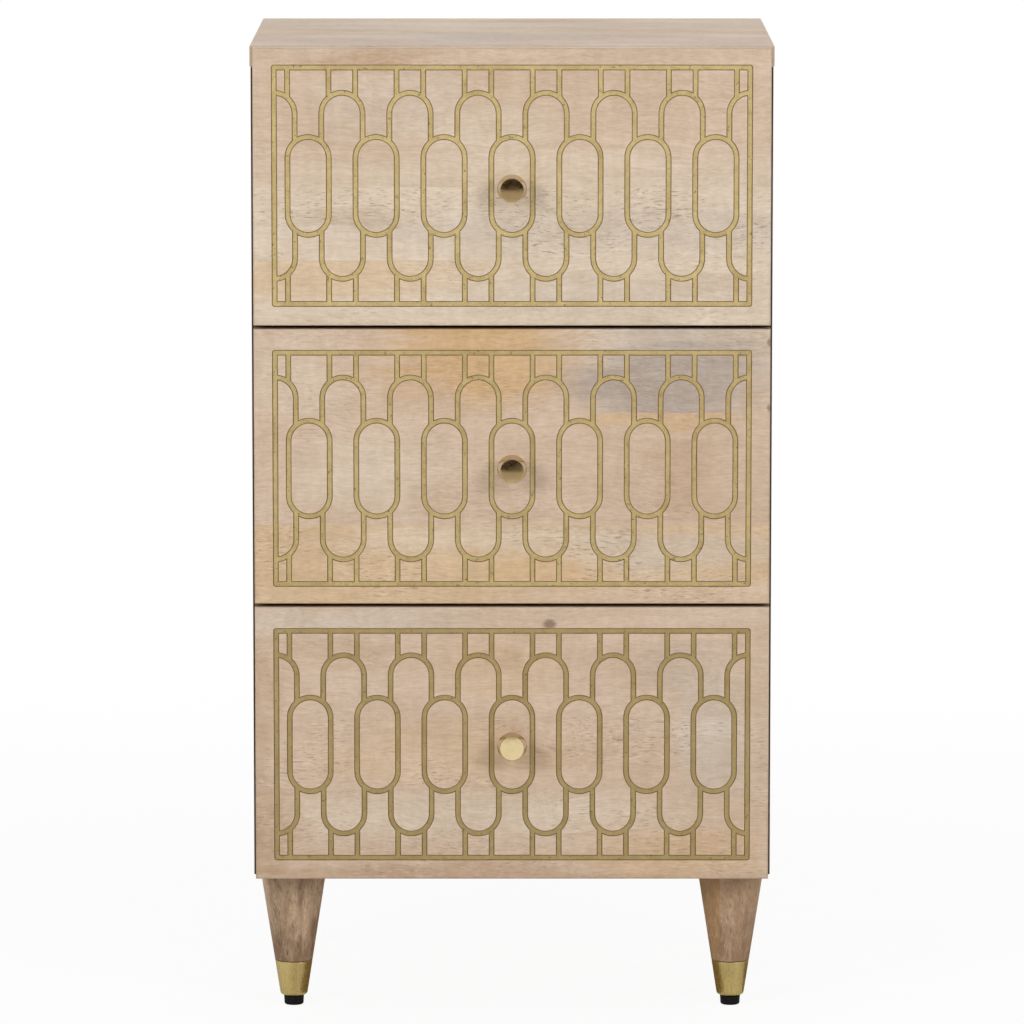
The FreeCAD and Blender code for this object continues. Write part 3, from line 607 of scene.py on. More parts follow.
def leg_wood(corner, tints):
    """Turned leg glued up from staves, browner than the body, with painted shade just above its ferrule."""
    finish = Finish(f"leg_wood_{corner}")
    low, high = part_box(f"{corner}_leg")
    middle = (low + high) / 2
    space = grain_space(finish, "Z", shift=(LEG_JUMP * CORNERS.index(corner), 0, middle.x))
    height = finish.axis(finish.place(), "Z")
    streaks = finish.noise(finish.mapped(space, scale=(14, 120, 120)), 1.0, 4.0, 0.6)
    patches = finish.noise(finish.mapped(space, scale=(1, 1.6, 1.6)), 34.0, 4.0, 0.62)
    mixed = finish.math("ADD", streaks, finish.math("MULTIPLY", patches, 0.6))
    foot = finish.span(height, LEG_PALE_FROM, LEG_DARK_TO, 0.02, 0.26)
    darkness = finish.span(finish.math("ADD", mixed, foot), 0.74, 1.18, 0.0, 0.85)
    colour = finish.mix(darkness, tints.leg, tints.leg_dark)
    nicks = finish.noise(finish.mapped(space, rotation=(0, 0.15, 0.15), scale=(170, 800, 800)), 1.0, 2.0)
    colour = finish.mix(finish.span(nicks, 0.58, 0.7, 0.0, 0.6), colour, tints.knot_and_shade)
    contours = finish.noise(finish.mapped(space, scale=(16, 42, 42)), 1.0, 1.0)
    contours = finish.math("FRACT", finish.math("MULTIPLY", contours, 13.0))
    nearness = finish.math("ABSOLUTE", finish.math("SUBTRACT", contours, 0.5))
    figured = finish.span(finish.noise(space, 70.0, 2.0), 0.45, 0.65, 0.0, 0.4)
    rings = finish.math("MULTIPLY", finish.span(nearness, 0.08, 0.0), figured)
    colour = finish.mix(rings, colour, tints.leg_dark)
    if corner in LEG_SEAMS:
        lean = finish.math("SUBTRACT", finish.axis(finish.place(), "X"), middle.x + LEG_SEAMS[corner])
        stave = finish.span(lean, LEG_SEAM_BLUR, -LEG_SEAM_BLUR)
        tan = finish.mix(finish.math("MULTIPLY", darkness, 0.5), tints.leg_tan, tints.leg_dark)
        colour = finish.mix(stave, finish.mix(0.4, colour, tints.umber), tan)
    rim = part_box(f"{corner}_ferrule")[1].z
    # Painted shade just above the ferrule's rim
    joint_shade = finish.span(height, rim + JOINT_SHADE_END, rim + JOINT_SHADE_FULL, 0.0, 0.75)
    colour = finish.mix(joint_shade, colour, tints.knot_and_shade)
    grained(finish, space, colour, tints, 1.4, 0.5)
    return finish.data


# Metal and plastic

def polished_brass(tints):
    """Brass of the knobs, polished, with faint handling marks, a paler painted reflection round the sides
    and a painted shade on the upper side.
    """
    finish = Finish("polished_brass")
    place = finish.place()
    haze = finish.noise(place, 160.0, 4.0, 0.6)
    colour = finish.mix(finish.span(haze, 0.35, 0.75, 0.0, 0.3), tints.brass, tints.satin_brass)
    facing = finish.normal()
    # Painted reflection: the flanks paler, as if mirroring the wood
    flank_reflection_share = finish.span(finish.math("ABSOLUTE", finish.axis(facing, "Y")), 0.8, 0.4)
    colour = finish.mix(flank_reflection_share, colour, tints.flank_reflection)
    # Painted shade on the upper flanks
    upper_flank_shade = finish.math("MULTIPLY", flank_reflection_share, finish.span(finish.axis(facing, "Z"), 0.3, 0.95, 0.0, 0.6))
    colour = finish.mix(upper_flank_shade, colour, tints.worn_gold_and_shade)
    lines = finish.noise(finish.mapped(place, scale=(900, 60, 900)), 1.0, 2.0)
    finish.shade(
        Base_Color=colour,
        Metallic=1.0,
        Roughness=finish.span(haze, 0.3, 0.8, 0.10, 0.19),
        Normal=finish.bump(lines, 0.01 * MM, 0.3),
    )
    return finish.data


def brushed_brass(tints):
    """Satin brass of the ferrules, brushed along their height, with painted reflection bands running up it.
    """
    finish = Finish("brushed_brass")
    place = finish.place()
    brush = finish.noise(finish.mapped(place, scale=(1500, 1500, 40)), 1.0, 3.0)
    tarnish = finish.noise(place, 70.0, 4.0, 0.6)
    colour = finish.mix(finish.span(tarnish, 0.4, 0.8, 0.0, 0.5), tints.satin_brass, tints.worn_gold_and_shade)
    # Painted reflection: soft bright and dark bands running up the ferrule
    bands = finish.noise(finish.mapped(place, scale=(110, 110, 3)), 1.0, 2.0, 0.5)
    colour = swung(finish, colour, bands, 0.12)
    colour = swung(finish, colour, brush, 0.04)
    finish.shade(
        Base_Color=colour,
        Metallic=1.0,
        Roughness=finish.span(brush, 0.3, 0.7, 0.24, 0.34),
        Normal=finish.bump(brush, 0.002 * MM, 0.2),
    )
    return finish.data


def zinc_steel(name, tints):
    """Zinc plating with its faint spangle."""
    finish = Finish(name)
    place = finish.place()
    spangle = finish.noise(place, 240.0, 3.0, 0.6)
    swing = finish.span(spangle, 0.3, 0.7, 0.86, 1.05)
    drawn = finish.noise(finish.mapped(place, scale=(900, 25, 900)), 1.0)
    finish.shade(
        Base_Color=finish.mix(1.0, tints.zinc, swing, "MULTIPLY"),
        Metallic=1.0,
        Roughness=finish.span(spangle, 0.3, 0.7, 0.28, 0.44),
        Normal=finish.bump(drawn, 0.02 * MM, 0.3),
    )
    return finish.data


def black_plastic(tints):
    """Moulded black plastic of the glides, a little scuffed."""
    finish = Finish("black_moulding")
    place = finish.place()
    scuff = finish.noise(place, 500.0, 4.0, 0.65)
    colour = finish.mix(finish.span(scuff, 0.55, 0.8, 0.0, 0.06), tints.black, tints.slate)
    finish.shade(
        Base_Color=colour,
        Specular_IOR_Level=0.15,
        Roughness=finish.span(scuff, 0.3, 0.7, 0.42, 0.6),
        Normal=finish.bump(scuff, 0.04 * MM, 0.4),
    )
    return finish.data


# Forms

def merged_copy(node):
    """A node's surface as one closed form with its flat faces whole."""
    form = bmesh.new()
    form.from_mesh(frame["nodes"][node].data)
    bmesh.ops.remove_doubles(form, verts=form.verts, dist=MERGE)
    bmesh.ops.dissolve_limit(form, angle_limit=FLAT_ANGLE, verts=form.verts, edges=form.edges)
    return form


def ease(form, edges, width, steps, clamp=True):
    """Round some edges of a form, all of them less where one is too short and clamp is set."""
    bmesh.ops.bevel(
        form, geom=edges, offset=width, offset_type="OFFSET", segments=steps, profile=0.5,
        affect="EDGES", clamp_overlap=clamp, material=-1,
    )


def box_edges(form, node):
    """Edges of a board that run along the edges of its box."""
    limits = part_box(node)

    def sides_met(edge):
        return sum(
            any(all(abs(vert.co[axis] - limit[axis]) < TOUCH for vert in edge.verts) for limit in limits)
            for axis in range(3)
        )

    return [edge for edge in form.edges if sides_met(edge) == 2]


def corner_edges(form, level_y):
    """Sharp edges of a form that lie in one plane facing the front."""
    return [
        edge for edge in form.edges
        if all(abs(vert.co.y - level_y) < TOUCH for vert in edge.verts)
        and edge.calc_face_angle(0) > CORNER_ANGLE
    ]


def long_edges(form):
    """Sharp edges of a form that run along Y."""
    def runs_along(edge):
        span = edge.verts[0].co - edge.verts[1].co
        return abs(span.y) > 100 * max(abs(span.x), abs(span.z), MERGE)

    return [edge for edge in form.edges if runs_along(edge) and edge.calc_face_angle(0) > CORNER_ANGLE]


def turned(outline, sides):
    """Form spun from (radius, height) points round the Z axis."""
    form = bmesh.new()
    verts = [form.verts.new((radius, 0, height)) for radius, height in outline]
    edges = [form.edges.new(pair) for pair in zip(verts, verts[1:])]
    bmesh.ops.spin(
        form, geom=verts + edges, axis=(0, 0, 1), cent=(0, 0, 0), angle=math.tau, steps=sides,
        use_merge=True,
    )
    bmesh.ops.remove_doubles(form, verts=form.verts, dist=MERGE)
    bmesh.ops.recalc_face_normals(form, faces=form.faces)
    return form


def ring_edges(form, radius, height):
    """Edges of one ring of a turned form."""
    def on_ring(vert):
        return abs(vert.co.xy.length - radius) < TOUCH and abs(vert.co.z - height) < TOUCH

    return [edge for edge in form.edges if all(on_ring(vert) for vert in edge.verts)]


def arc(centre, radius, start, end, steps):
    """Points along an arc of an outline, with angles in degrees."""
    angles = [math.radians(start + (end - start) * step / steps) for step in range(steps + 1)]
    return [(centre[0] + radius * math.cos(angle), centre[1] + radius * math.sin(angle)) for angle in angles]


def islands(form):
    """Groups of vertices that hang together."""
    left = set(form.verts)
    while left:
        group, rim = set(), [left.pop()]
        while rim:
            vert = rim.pop()
            group.add(vert)
            found = {edge.other_vert(vert) for edge in vert.link_edges} & left
            left -= found
            rim += found
        yield group


def show(form, node, *materials):
    """Turn a form into the piece that stands for a node and moves with its body."""
    if not form.faces:
        raise RuntimeError(f"nothing was modelled for {node}")
    mesh = bpy.data.meshes.new(f"finished_{node}")
    form.to_mesh(mesh)
    form.free()
    for material in materials:
        mesh.materials.append(material)
    mesh.shade_smooth()
    mesh.set_sharp_from_angle(angle=CREASE_ANGLE)
    piece = bpy.data.objects.new(mesh.name, mesh)
    bpy.context.scene.collection.objects.link(piece)
    even = piece.modifiers.new("even_normals", "WEIGHTED_NORMAL")
    even.keep_sharp = True
    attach(piece, frame["nodes"][node]["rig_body"])
    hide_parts(node)


def coat(node, material):
    """Give a hidden fastener of the frame its finish."""
    slots = frame["nodes"][node].data.materials
    slots.clear()
    slots.append(material)


def eased_board(node, material, width, steps):
    """Show a board with its outer edges rounded."""
    form = merged_copy(node)
    ease(form, box_edges(form, node), width, steps)
    show(form, node, material)


def show_turned(node, material, outline, roundings, sides, stand):
    """Show a piece spun from (radius, height) points, with (radius, height, width, steps) roundings."""
    form = turned(outline, sides)
    for radius, height, width, steps in roundings:
        ease(form, ring_edges(form, radius, height), width, steps)
    bmesh.ops.transform(form, matrix=stand, verts=form.verts)
    show(form, node, material)


# Operators

# Plain border of a drawer front, outside its carving
FRONT_BORDER = 8 * MM


class CHEST_OT_carcass(bpy.types.Operator):
    """Ease and finish the boards of the carcass"""

    bl_idname = "chest.carcass"
    bl_label = "Carcass Boards"

    def execute(self, context):
        shape, tints = context.scene.chest_shape, context.scene.chest_tints
        edge_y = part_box("left_side_panel")[0].y
        woods = {
            "top_panel": board_wood("top_wood", "X", tints, None),
            "left_side_panel": board_wood("left_side_wood", "Z", tints, edge_y),
            "right_side_panel": board_wood("right_side_wood", "Z", tints, edge_y),
            "bottom_panel": board_wood("bottom_wood", "X", tints, edge_y),
            "upper_divider_rail": board_wood("upper_divider_wood", "X", tints, edge_y),
            "lower_divider_rail": board_wood("lower_divider_wood", "X", tints, edge_y),
            "back_panel": plywood("back_plywood", "Z", tints),
        }
        for node, wood in woods.items():
            eased_board(node, wood, shape.board_ease, shape.ease_steps)
        return {"FINISHED"}


class CHEST_OT_drawer_fronts(bpy.types.Operator):
    """Carve and gild the drawer fronts"""

    bl_idname = "chest.drawer_fronts"
    bl_label = "Drawer Fronts"

    def execute(self, context):
        shape, tints = context.scene.chest_shape, context.scene.chest_tints
        for level in LEVELS:
            node = f"{level}_drawer_front"
            low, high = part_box(node)
            form = merged_copy(node)
            bed = corner_edges(form, low.y + shape.groove_depth)
            ease(form, bed, shape.groove_bed, shape.ease_steps, clamp=False)
            ease(form, corner_edges(form, low.y), shape.groove_rim, shape.ease_steps, clamp=False)
            border = Vector((FRONT_BORDER, 0, FRONT_BORDER))
            inner_low, inner_high = low + border, high - border
            for face in form.faces:
                middle = face.calc_center_median()
                carved = low.y + TOUCH < middle.y < low.y + shape.groove_depth + TOUCH
                across = inner_low.x < middle.x < inner_high.x and inner_low.z < middle.z < inner_high.z
                face.material_index = int(carved and across)
            show(form, node, front_wood(level, tints), gilding(level, tints, shape))
        return {"FINISHED"}


class CHEST_OT_drawer_boxes(bpy.types.Operator):
    """Ease and finish the boards of the drawer boxes"""

    bl_idname = "chest.drawer_boxes"
    bl_label = "Drawer Boxes"

    def execute(self, context):
        shape, tints = context.scene.chest_shape, context.scene.chest_tints
        cross, along = plain_wood("box_cross_wood", "X", tints), plain_wood("box_side_wood", "Y", tints)
        base = plywood("base_plywood", "X", tints)
        woods = {"box_front": cross, "back": cross, "left_side": along, "right_side": along, "base": base}
        for level in LEVELS:
            for name, wood in woods.items():
                eased_board(f"{level}_drawer_{name}", wood, shape.box_ease, shape.ease_steps)
        return {"FINISHED"}


# Radii of a knob, and heights over the drawer front. The head's radius and the whole height come from the
# frame, and the head runs up to a chamfer and a slightly domed face.
KNOB_BASE = 8 * MM
KNOB_STEM = 5.2 * MM
KNOB_FLARE = 7.2 * MM
KNOB_FACE = 8.9 * MM
KNOB_BASE_TOP = 1.5 * MM
KNOB_STEM_TOP = 10 * MM
KNOB_FLARE_TOP = 13 * MM
KNOB_HEAD_RIM = 14.5 * MM
KNOB_CHAMFER = 0.5 * MM
KNOB_DOME = 0.35 * MM
DOME_STEPS = 8


class CHEST_OT_knobs(bpy.types.Operator):
    """Turn the brass knobs"""

    bl_idname = "chest.knobs"
    bl_label = "Knobs"

    def execute(self, context):
        shape, tints = context.scene.chest_shape, context.scene.chest_tints
        brass, steps = polished_brass(tints), shape.ease_steps
        crown = (KNOB_FACE ** 2 + KNOB_DOME ** 2) / (2 * KNOB_DOME)
        sweep = math.degrees(math.asin(KNOB_FACE / crown))
        for level in LEVELS:
            node = f"{level}_drawer_knob"
            low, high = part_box(node)
            reach = high.y - low.y
            head = (high.x - low.x) / 2
            outline = [
                (0, 0), (KNOB_BASE, 0), (KNOB_BASE, KNOB_BASE_TOP), (KNOB_STEM, KNOB_BASE_TOP),
                (KNOB_STEM, KNOB_STEM_TOP), (KNOB_FLARE, KNOB_FLARE_TOP), (head, KNOB_HEAD_RIM),
                (KNOB_FACE + KNOB_CHAMFER, reach - KNOB_DOME - KNOB_CHAMFER),
                *arc((0, reach - crown), crown, 90 - sweep, 90, DOME_STEPS),
            ]
            roundings = (
                (KNOB_BASE, KNOB_BASE_TOP, shape.rim_ease, steps),
                (head, KNOB_HEAD_RIM, shape.rim_ease, steps),
                (KNOB_STEM, KNOB_BASE_TOP, shape.turned_ease, steps),
                (KNOB_STEM, KNOB_STEM_TOP, shape.neck_ease, steps),
                (KNOB_FLARE, KNOB_FLARE_TOP, shape.flare_ease, steps),
            )
            middle = (low + high) / 2
            stand = Matrix.Translation((middle.x, high.y, middle.z)) @ Matrix.Rotation(math.pi / 2, 4, "X")
            show_turned(node, brass, outline, roundings, shape.turned_sides, stand)
        return {"FINISHED"}


# Ferrule's wall, the clearance of the leg's spigot in it, and the gap between its rim and the leg's shoulder
CUP_WALL = 1.0 * MM
SPIGOT_GAP = 0.05 * MM
SHOULDER_GAP = 0.3 * MM

# Glide's stud and the bore that it passes, and the glide's foot, which is narrower at the sole
STUD = 3.0 * MM
STUD_BORE = 3.05 * MM
FOOT_TOP = 7.2 * MM
SOLE_INSET = 0.4 * MM


def leg_stand(corner):
    """Place of a leg."""
    low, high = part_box(f"{corner}_leg")
    middle = (low + high) / 2
    return Matrix.Translation((middle.x, middle.y, 0))


def leg_radius(corner, height):
    """Outer radius of a leg at a height, on a taper that its ferrule carries on."""
    low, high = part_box(f"{corner}_leg")
    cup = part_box(f"{corner}_ferrule")[1]
    middle_x = (low.x + high.x) / 2
    taper = (high.x - cup.x) / (high.z - cup.z)
    return cup.x - middle_x + taper * (height - cup.z)


class CHEST_OT_legs(bpy.types.Operator):
    """Turn the legs with their spigots"""

    bl_idname = "chest.legs"
    bl_label = "Legs"

    def execute(self, context):
        shape, tints = context.scene.chest_shape, context.scene.chest_tints
        for corner in CORNERS:
            low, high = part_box(f"{corner}_leg")
            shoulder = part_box(f"{corner}_ferrule")[1].z + SHOULDER_GAP
            inset = CUP_WALL + SPIGOT_GAP
            top, end, tip = (leg_radius(corner, height) for height in (high.z, shoulder, low.z))
            outline = [
                (0, low.z), (tip - inset, low.z), (end - inset, shoulder), (end, shoulder),
                (top, high.z), (0, high.z),
            ]
            roundings = (
                (end, shoulder, shape.rim_ease, shape.ease_steps),
                (top, high.z, shape.turned_ease, shape.ease_steps),
            )
            wood = leg_wood(corner, tints)
            show_turned(f"{corner}_leg", wood, outline, roundings, shape.turned_sides, leg_stand(corner))
        return {"FINISHED"}


class CHEST_OT_ferrules(bpy.types.Operator):
    """Turn the brass cups on the ends of the legs"""

    bl_idname = "chest.ferrules"
    bl_label = "Ferrules"

    def execute(self, context):
        shape, tints = context.scene.chest_shape, context.scene.chest_tints
        brass = brushed_brass(tints)
        for corner in CORNERS:
            low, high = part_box(f"{corner}_ferrule")
            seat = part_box(f"{corner}_leg")[0].z
            rim, inner, tip = (leg_radius(corner, height) for height in (high.z, seat, low.z))
            outline = [
                (STUD_BORE, low.z), (tip, low.z), (rim, high.z), (rim - CUP_WALL, high.z),
                (inner - CUP_WALL, seat), (STUD_BORE, seat), (STUD_BORE, low.z),
            ]
            roundings = (
                (tip, low.z, shape.tip_ease, shape.foot_steps),
                (rim, high.z, shape.cup_ease, shape.ease_steps),
            )
            stand = leg_stand(corner)
            show_turned(f"{corner}_ferrule", brass, outline, roundings, shape.turned_sides, stand)
        return {"FINISHED"}


class CHEST_OT_glides(bpy.types.Operator):
    """Turn the levelling glides"""

    bl_idname = "chest.glides"
    bl_label = "Glides"

    def execute(self, context):
        shape, tints = context.scene.chest_shape, context.scene.chest_tints
        black = black_plastic(tints)
        for corner in CORNERS:
            low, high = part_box(f"{corner}_glide")
            foot = (high.x - low.x) / 2
            sole = foot - SOLE_INSET
            outline = [
                (0, low.z), (sole, low.z), (foot, FOOT_TOP), (STUD, FOOT_TOP), (STUD, high.z), (0, high.z),
            ]
            roundings = (
                (sole, low.z, shape.sole_ease, shape.foot_steps),
                (foot, FOOT_TOP, shape.turned_ease, shape.ease_steps),
            )
            show_turned(f"{corner}_glide", black, outline, roundings, shape.turned_sides, leg_stand(corner))
        return {"FINISHED"}


class CHEST_OT_runners(bpy.types.Operator):
    """Fold and plate the members of the telescopic runners"""

    bl_idname = "chest.runners"
    bl_label = "Runners"

    def execute(self, context):
        shape, tints = context.scene.chest_shape, context.scene.chest_tints
        zinc = zinc_steel("zinc_runners", tints)
        names = ["left_cabinet_rails", "right_cabinet_rails"]
        for level in LEVELS:
            names += [f"{level}_drawer_{part}" for part in ("rails", "middle_rails", "ball_cages")]
        for node in names:
            form = merged_copy(node)
            ease(form, long_edges(form), shape.rail_ease, shape.ease_steps)
            show(form, node, zinc)
        return {"FINISHED"}


# Screw heads in shares of their radius and height: a pan head's outline, and the arms of the cross recess,
# its taper and its depth. A screw's end is narrowed to a share of its shank.
PAN_HEAD = ((0.72, 0), (0.93, -0.28), (1, -0.6), (1, -1))
SUNK_HEAD = ((1, 0),)
RECESS_ARM = 0.62
RECESS_HALF = 0.13
RECESS_TAPER = 0.8
RECESS_DEPTH = 0.55
SCREW_END = 0.3

# Turn from one screw's recess to the next
SCREW_TURN = 0.9


def cross_head_screw(profile, head, depth, shank, length, sides):
    """Screw along -Z with its head's top at Z = 0 and a cross recess in it."""
    outline = [(across * head, down * depth) for across, down in profile]
    outline += [(shank, -depth), (shank, shank - length), (SCREW_END * shank, -length), (0, -length)]
    form = turned(outline, sides)
    opening = [edge for edge in form.edges if edge.is_boundary]
    bmesh.ops.contextual_create(form, geom=opening)
    rim = outline[0][0]
    arm, half = RECESS_ARM * rim, RECESS_HALF * rim

    def top_faces():
        return [face for face in form.faces if all(abs(vert.co.z) < MERGE for vert in face.verts)]

    for axis in (Vector((1, 0, 0)), Vector((0, 1, 0))):
        for offset in (-arm, -half, half, arm):
            flat = top_faces()
            geom = flat + [edge for face in flat for edge in face.edges]
            geom += [vert for face in flat for vert in face.verts]
            geom = list(dict.fromkeys(geom))
            bmesh.ops.bisect_plane(form, geom=geom, plane_co=axis * offset, plane_no=axis)
    cross = []
    for face in top_faces():
        middle = face.calc_center_median()
        across, along = sorted((abs(middle.x), abs(middle.y)))
        if across < half and along < arm:
            cross.append(face)
    sunken = bmesh.ops.extrude_face_region(form, geom=cross)["geom"]
    pit = [item for item in sunken if isinstance(item, bmesh.types.BMVert)]
    bmesh.ops.delete(form, geom=[face for face in cross if face.is_valid], context="FACES")
    bmesh.ops.scale(form, vec=(RECESS_TAPER, RECESS_TAPER, 1), verts=pit)
    bmesh.ops.translate(form, vec=(0, 0, -RECESS_DEPTH * depth), verts=pit)
    bmesh.ops.recalc_face_normals(form, faces=form.faces)
    return form


def finished_screw(blank, profile, turn, sides):
    """Cross-head screw in the place of a plain one, which is given by its vertices."""
    places = [vert.co for vert in blank]
    low = Vector([min(place[axis] for place in places) for axis in range(3)])
    high = Vector([max(place[axis] for place in places) for axis in range(3)])
    middle = (low + high) / 2
    axis = max(range(3), key=lambda found: high[found] - low[found])
    outward = Vector([float(found == axis) for found in range(3)])

    def spread(level):
        offsets = [place - middle for place in places if abs(place[axis] - level) < TOUCH]
        return max((offset - outward * offset.dot(outward)).length for offset in offsets)

    ends = (low[axis], high[axis])
    head_end, tip_end = sorted(ends, key=spread, reverse=True)
    levels = [place[axis] for place in places]
    seat = next(level for level in levels if min(abs(level - end) for end in ends) > TOUCH)
    depth, length = abs(head_end - seat), high[axis] - low[axis]
    form = cross_head_screw(profile, spread(head_end), depth, spread(tip_end), length, sides)
    outward *= 1 if head_end > tip_end else -1
    stand = Vector((0, 0, 1)).rotation_difference(outward).to_matrix().to_4x4()
    top = middle.copy()
    top[axis] = head_end
    place = Matrix.Translation(top) @ stand @ Matrix.Rotation(turn, 4, "Z")
    bmesh.ops.transform(form, matrix=place, verts=form.verts)
    return form


class CHEST_OT_screws(bpy.types.Operator):
    """Give every screw its head with a cross recess"""

    bl_idname = "chest.screws"
    bl_label = "Screws"

    def execute(self, context):
        shape, tints = context.scene.chest_shape, context.scene.chest_tints
        zinc = zinc_steel("zinc_screws", tints)
        profiles = {"back_panel_screws": SUNK_HEAD, "cabinet_rail_screws": PAN_HEAD}
        profiles.update({f"{level}_drawer_screws": PAN_HEAD for level in LEVELS})
        for node, profile in profiles.items():
            plain = merged_copy(node)
            whole = bmesh.new()
            blanks = sorted(islands(plain), key=lambda blank: min(tuple(vert.co) for vert in blank))
            for index, blank in enumerate(blanks):
                form = finished_screw(blank, profile, SCREW_TURN * index, shape.screw_sides)
                loose = bpy.data.meshes.new("screw")
                form.to_mesh(loose)
                form.free()
                whole.from_mesh(loose)
                bpy.data.meshes.remove(loose)
            plain.free()
            show(whole, node, zinc)
        return {"FINISHED"}


class CHEST_OT_fasteners(bpy.types.Operator):
    """Finish the dowels, bolts, nuts and inserts inside the joints"""

    bl_idname = "chest.fasteners"
    bl_label = "Hidden Fasteners"

    def execute(self, context):
        tints = context.scene.chest_tints
        zinc = zinc_steel("zinc_fasteners", tints)
        for node in ("leg_hanger_bolts", "leg_tee_nuts", "glide_inserts"):
            coat(node, zinc)
        coat("carcass_dowels", plain_wood("dowel_wood", "X", tints))
        return {"FINISHED"}


# Stage

# Soft boxes: the stage's value that holds the power, the place, and the size
Lamp = namedtuple("Lamp", "name power place width height")
LAMPS = (
    Lamp("key_box", "key", (0.0, -1.6, 3.2), 2.0, 1.4),
    Lamp("left_box", "side", (-1.9, -2.5, 1.45), 0.9, 1.3),
    Lamp("right_box", "side", (1.9, -2.5, 1.55), 0.9, 1.3),
    Lamp("back_box", "back", (0.0, 3.0, 2.2), 2.4, 1.6),
)

# Floor, with the share of plain white near the chest and the distances over which it turns white, as the
# camera sees it and as polished pieces mirror it
FLOOR_HALF_WIDTH = 9.0
NEAR_WHITE = 0.93
SEEN_FADE = (0.5, 1.8)
MIRRORED_FADE = (0.3, 0.8)

# Roughness of the floor and the cards
MATT = 0.9

# Dark card far in front of the chest, which only polished pieces mirror: a painted dark reflection in the
# knobs
FAR_DISTANCE = 4.0
FAR_HEIGHT = 0.61
FAR_HALF_WIDTH = 0.9
FAR_HALF_HEIGHT = 0.49

# Cards on the floor under the chest and on its right, which only polished pieces mirror: painted shade of
# the floor in the ferrules
FloorShadeCard = namedtuple("FloorShadeCard", "name x y half_width half_depth")
FLOOR_SHADE_CARDS = (
    FloorShadeCard("under_card", 0.0, 0.04, 0.145, 0.165),
    FloorShadeCard("right_card", 0.275, 0.075, 0.08, 0.165),
)
FLOOR_SHADE_LIFT = 1 * MM

# Glowing cards in front of the two upper knobs, which paint a dark and a grey reflection into their domes:
# how far off they stand, and how much of each a dome mirrors
MIRROR_DISTANCE = 0.7
MIRROR_REACH = 0.112
MIRROR_HALF_WIDTH = 0.13


def soft_box(lamp, target, power):
    """Large rectangular lamp aimed at a point."""
    light = bpy.data.lights.new(lamp.name, "AREA")
    light.shape = "RECTANGLE"
    light.size, light.size_y, light.energy = lamp.width, lamp.height, power
    stand = bpy.data.objects.new(lamp.name, light)
    stand.location = lamp.place
    stand.rotation_euler = (target - Vector(lamp.place)).to_track_quat("-Z", "Y").to_euler()
    bpy.context.scene.collection.objects.link(stand)


def sheet(name, half_width, half_height, matrix):
    """Flat sheet that belongs to the stage."""
    form = bmesh.new()
    bmesh.ops.create_grid(form, x_segments=1, y_segments=1, size=1)
    bmesh.ops.scale(form, vec=(half_width, half_height, 1), verts=form.verts)
    bmesh.ops.transform(form, matrix=matrix, verts=form.verts)
    mesh = bpy.data.meshes.new(name)
    form.to_mesh(mesh)
    form.free()
    board = bpy.data.objects.new(name, mesh)
    bpy.context.scene.collection.objects.link(board)
    return board


def mirrored_card(name, half_width, half_height, matrix, **surface):
    """Card that shows in polished pieces alone, as a painted reflection."""
    card = sheet(name, half_width, half_height, matrix)
    finish = Finish(name)
    finish.shade(**surface)
    card.data.materials.append(finish.data)
    card.visible_camera = card.visible_diffuse = card.visible_shadow = card.visible_transmission = False


def floor_finish(tints):
    """Pale floor that looks white but keeps a faint shadow, and can be seen through from below.

    Polished pieces mirror the floor near the chest as it is lit, with the whole shadow.
    """
    finish = Finish("pale_floor")
    finish.shade(Base_Color=tints.floor, Roughness=MATT)
    white = finish.node("ShaderNodeEmission", {"Color": (1, 1, 1), "Strength": 1.0})
    clear = finish.node("ShaderNodeBsdfTransparent", {})
    away = finish.length(finish.place())
    path = finish.node("ShaderNodeLightPath", {}).outputs
    seen = finish.math("MAXIMUM", path["Is Camera Ray"], path["Is Transmission Ray"])
    seen = finish.math("MULTIPLY", seen, finish.span(away, *SEEN_FADE, NEAR_WHITE, 1.0))
    mirrored = finish.math("MULTIPLY", path["Is Glossy Ray"], finish.span(away, *MIRRORED_FADE))
    share = finish.math("ADD", seen, mirrored)
    above = finish.blend(share, finish.surface.outputs[0], white.outputs[0])
    below = finish.node("ShaderNodeNewGeometry", {}).outputs["Backfacing"]
    both = finish.blend(below, above, clear.outputs[0])
    finish.feed(finish.tree.nodes["Material Output"].inputs["Surface"], both)
    return finish.data


def studio_world(strength):
    """White surroundings that light the chest evenly and look plain white."""
    finish = Finish("studio", "worlds", "Background")
    finish.shade(Color=(1, 1, 1), Strength=strength)
    white = finish.node("ShaderNodeBackground", {"Color": (1, 1, 1), "Strength": 1.0})
    path = finish.node("ShaderNodeLightPath", {}).outputs
    seen = finish.math("MAXIMUM", path["Is Camera Ray"], path["Is Glossy Ray"])
    seen = finish.math("MAXIMUM", seen, path["Is Transmission Ray"])
    both = finish.blend(seen, finish.surface.outputs[0], white.outputs[0])
    finish.feed(finish.tree.nodes["World Output"].inputs["Surface"], both)
    return finish.data


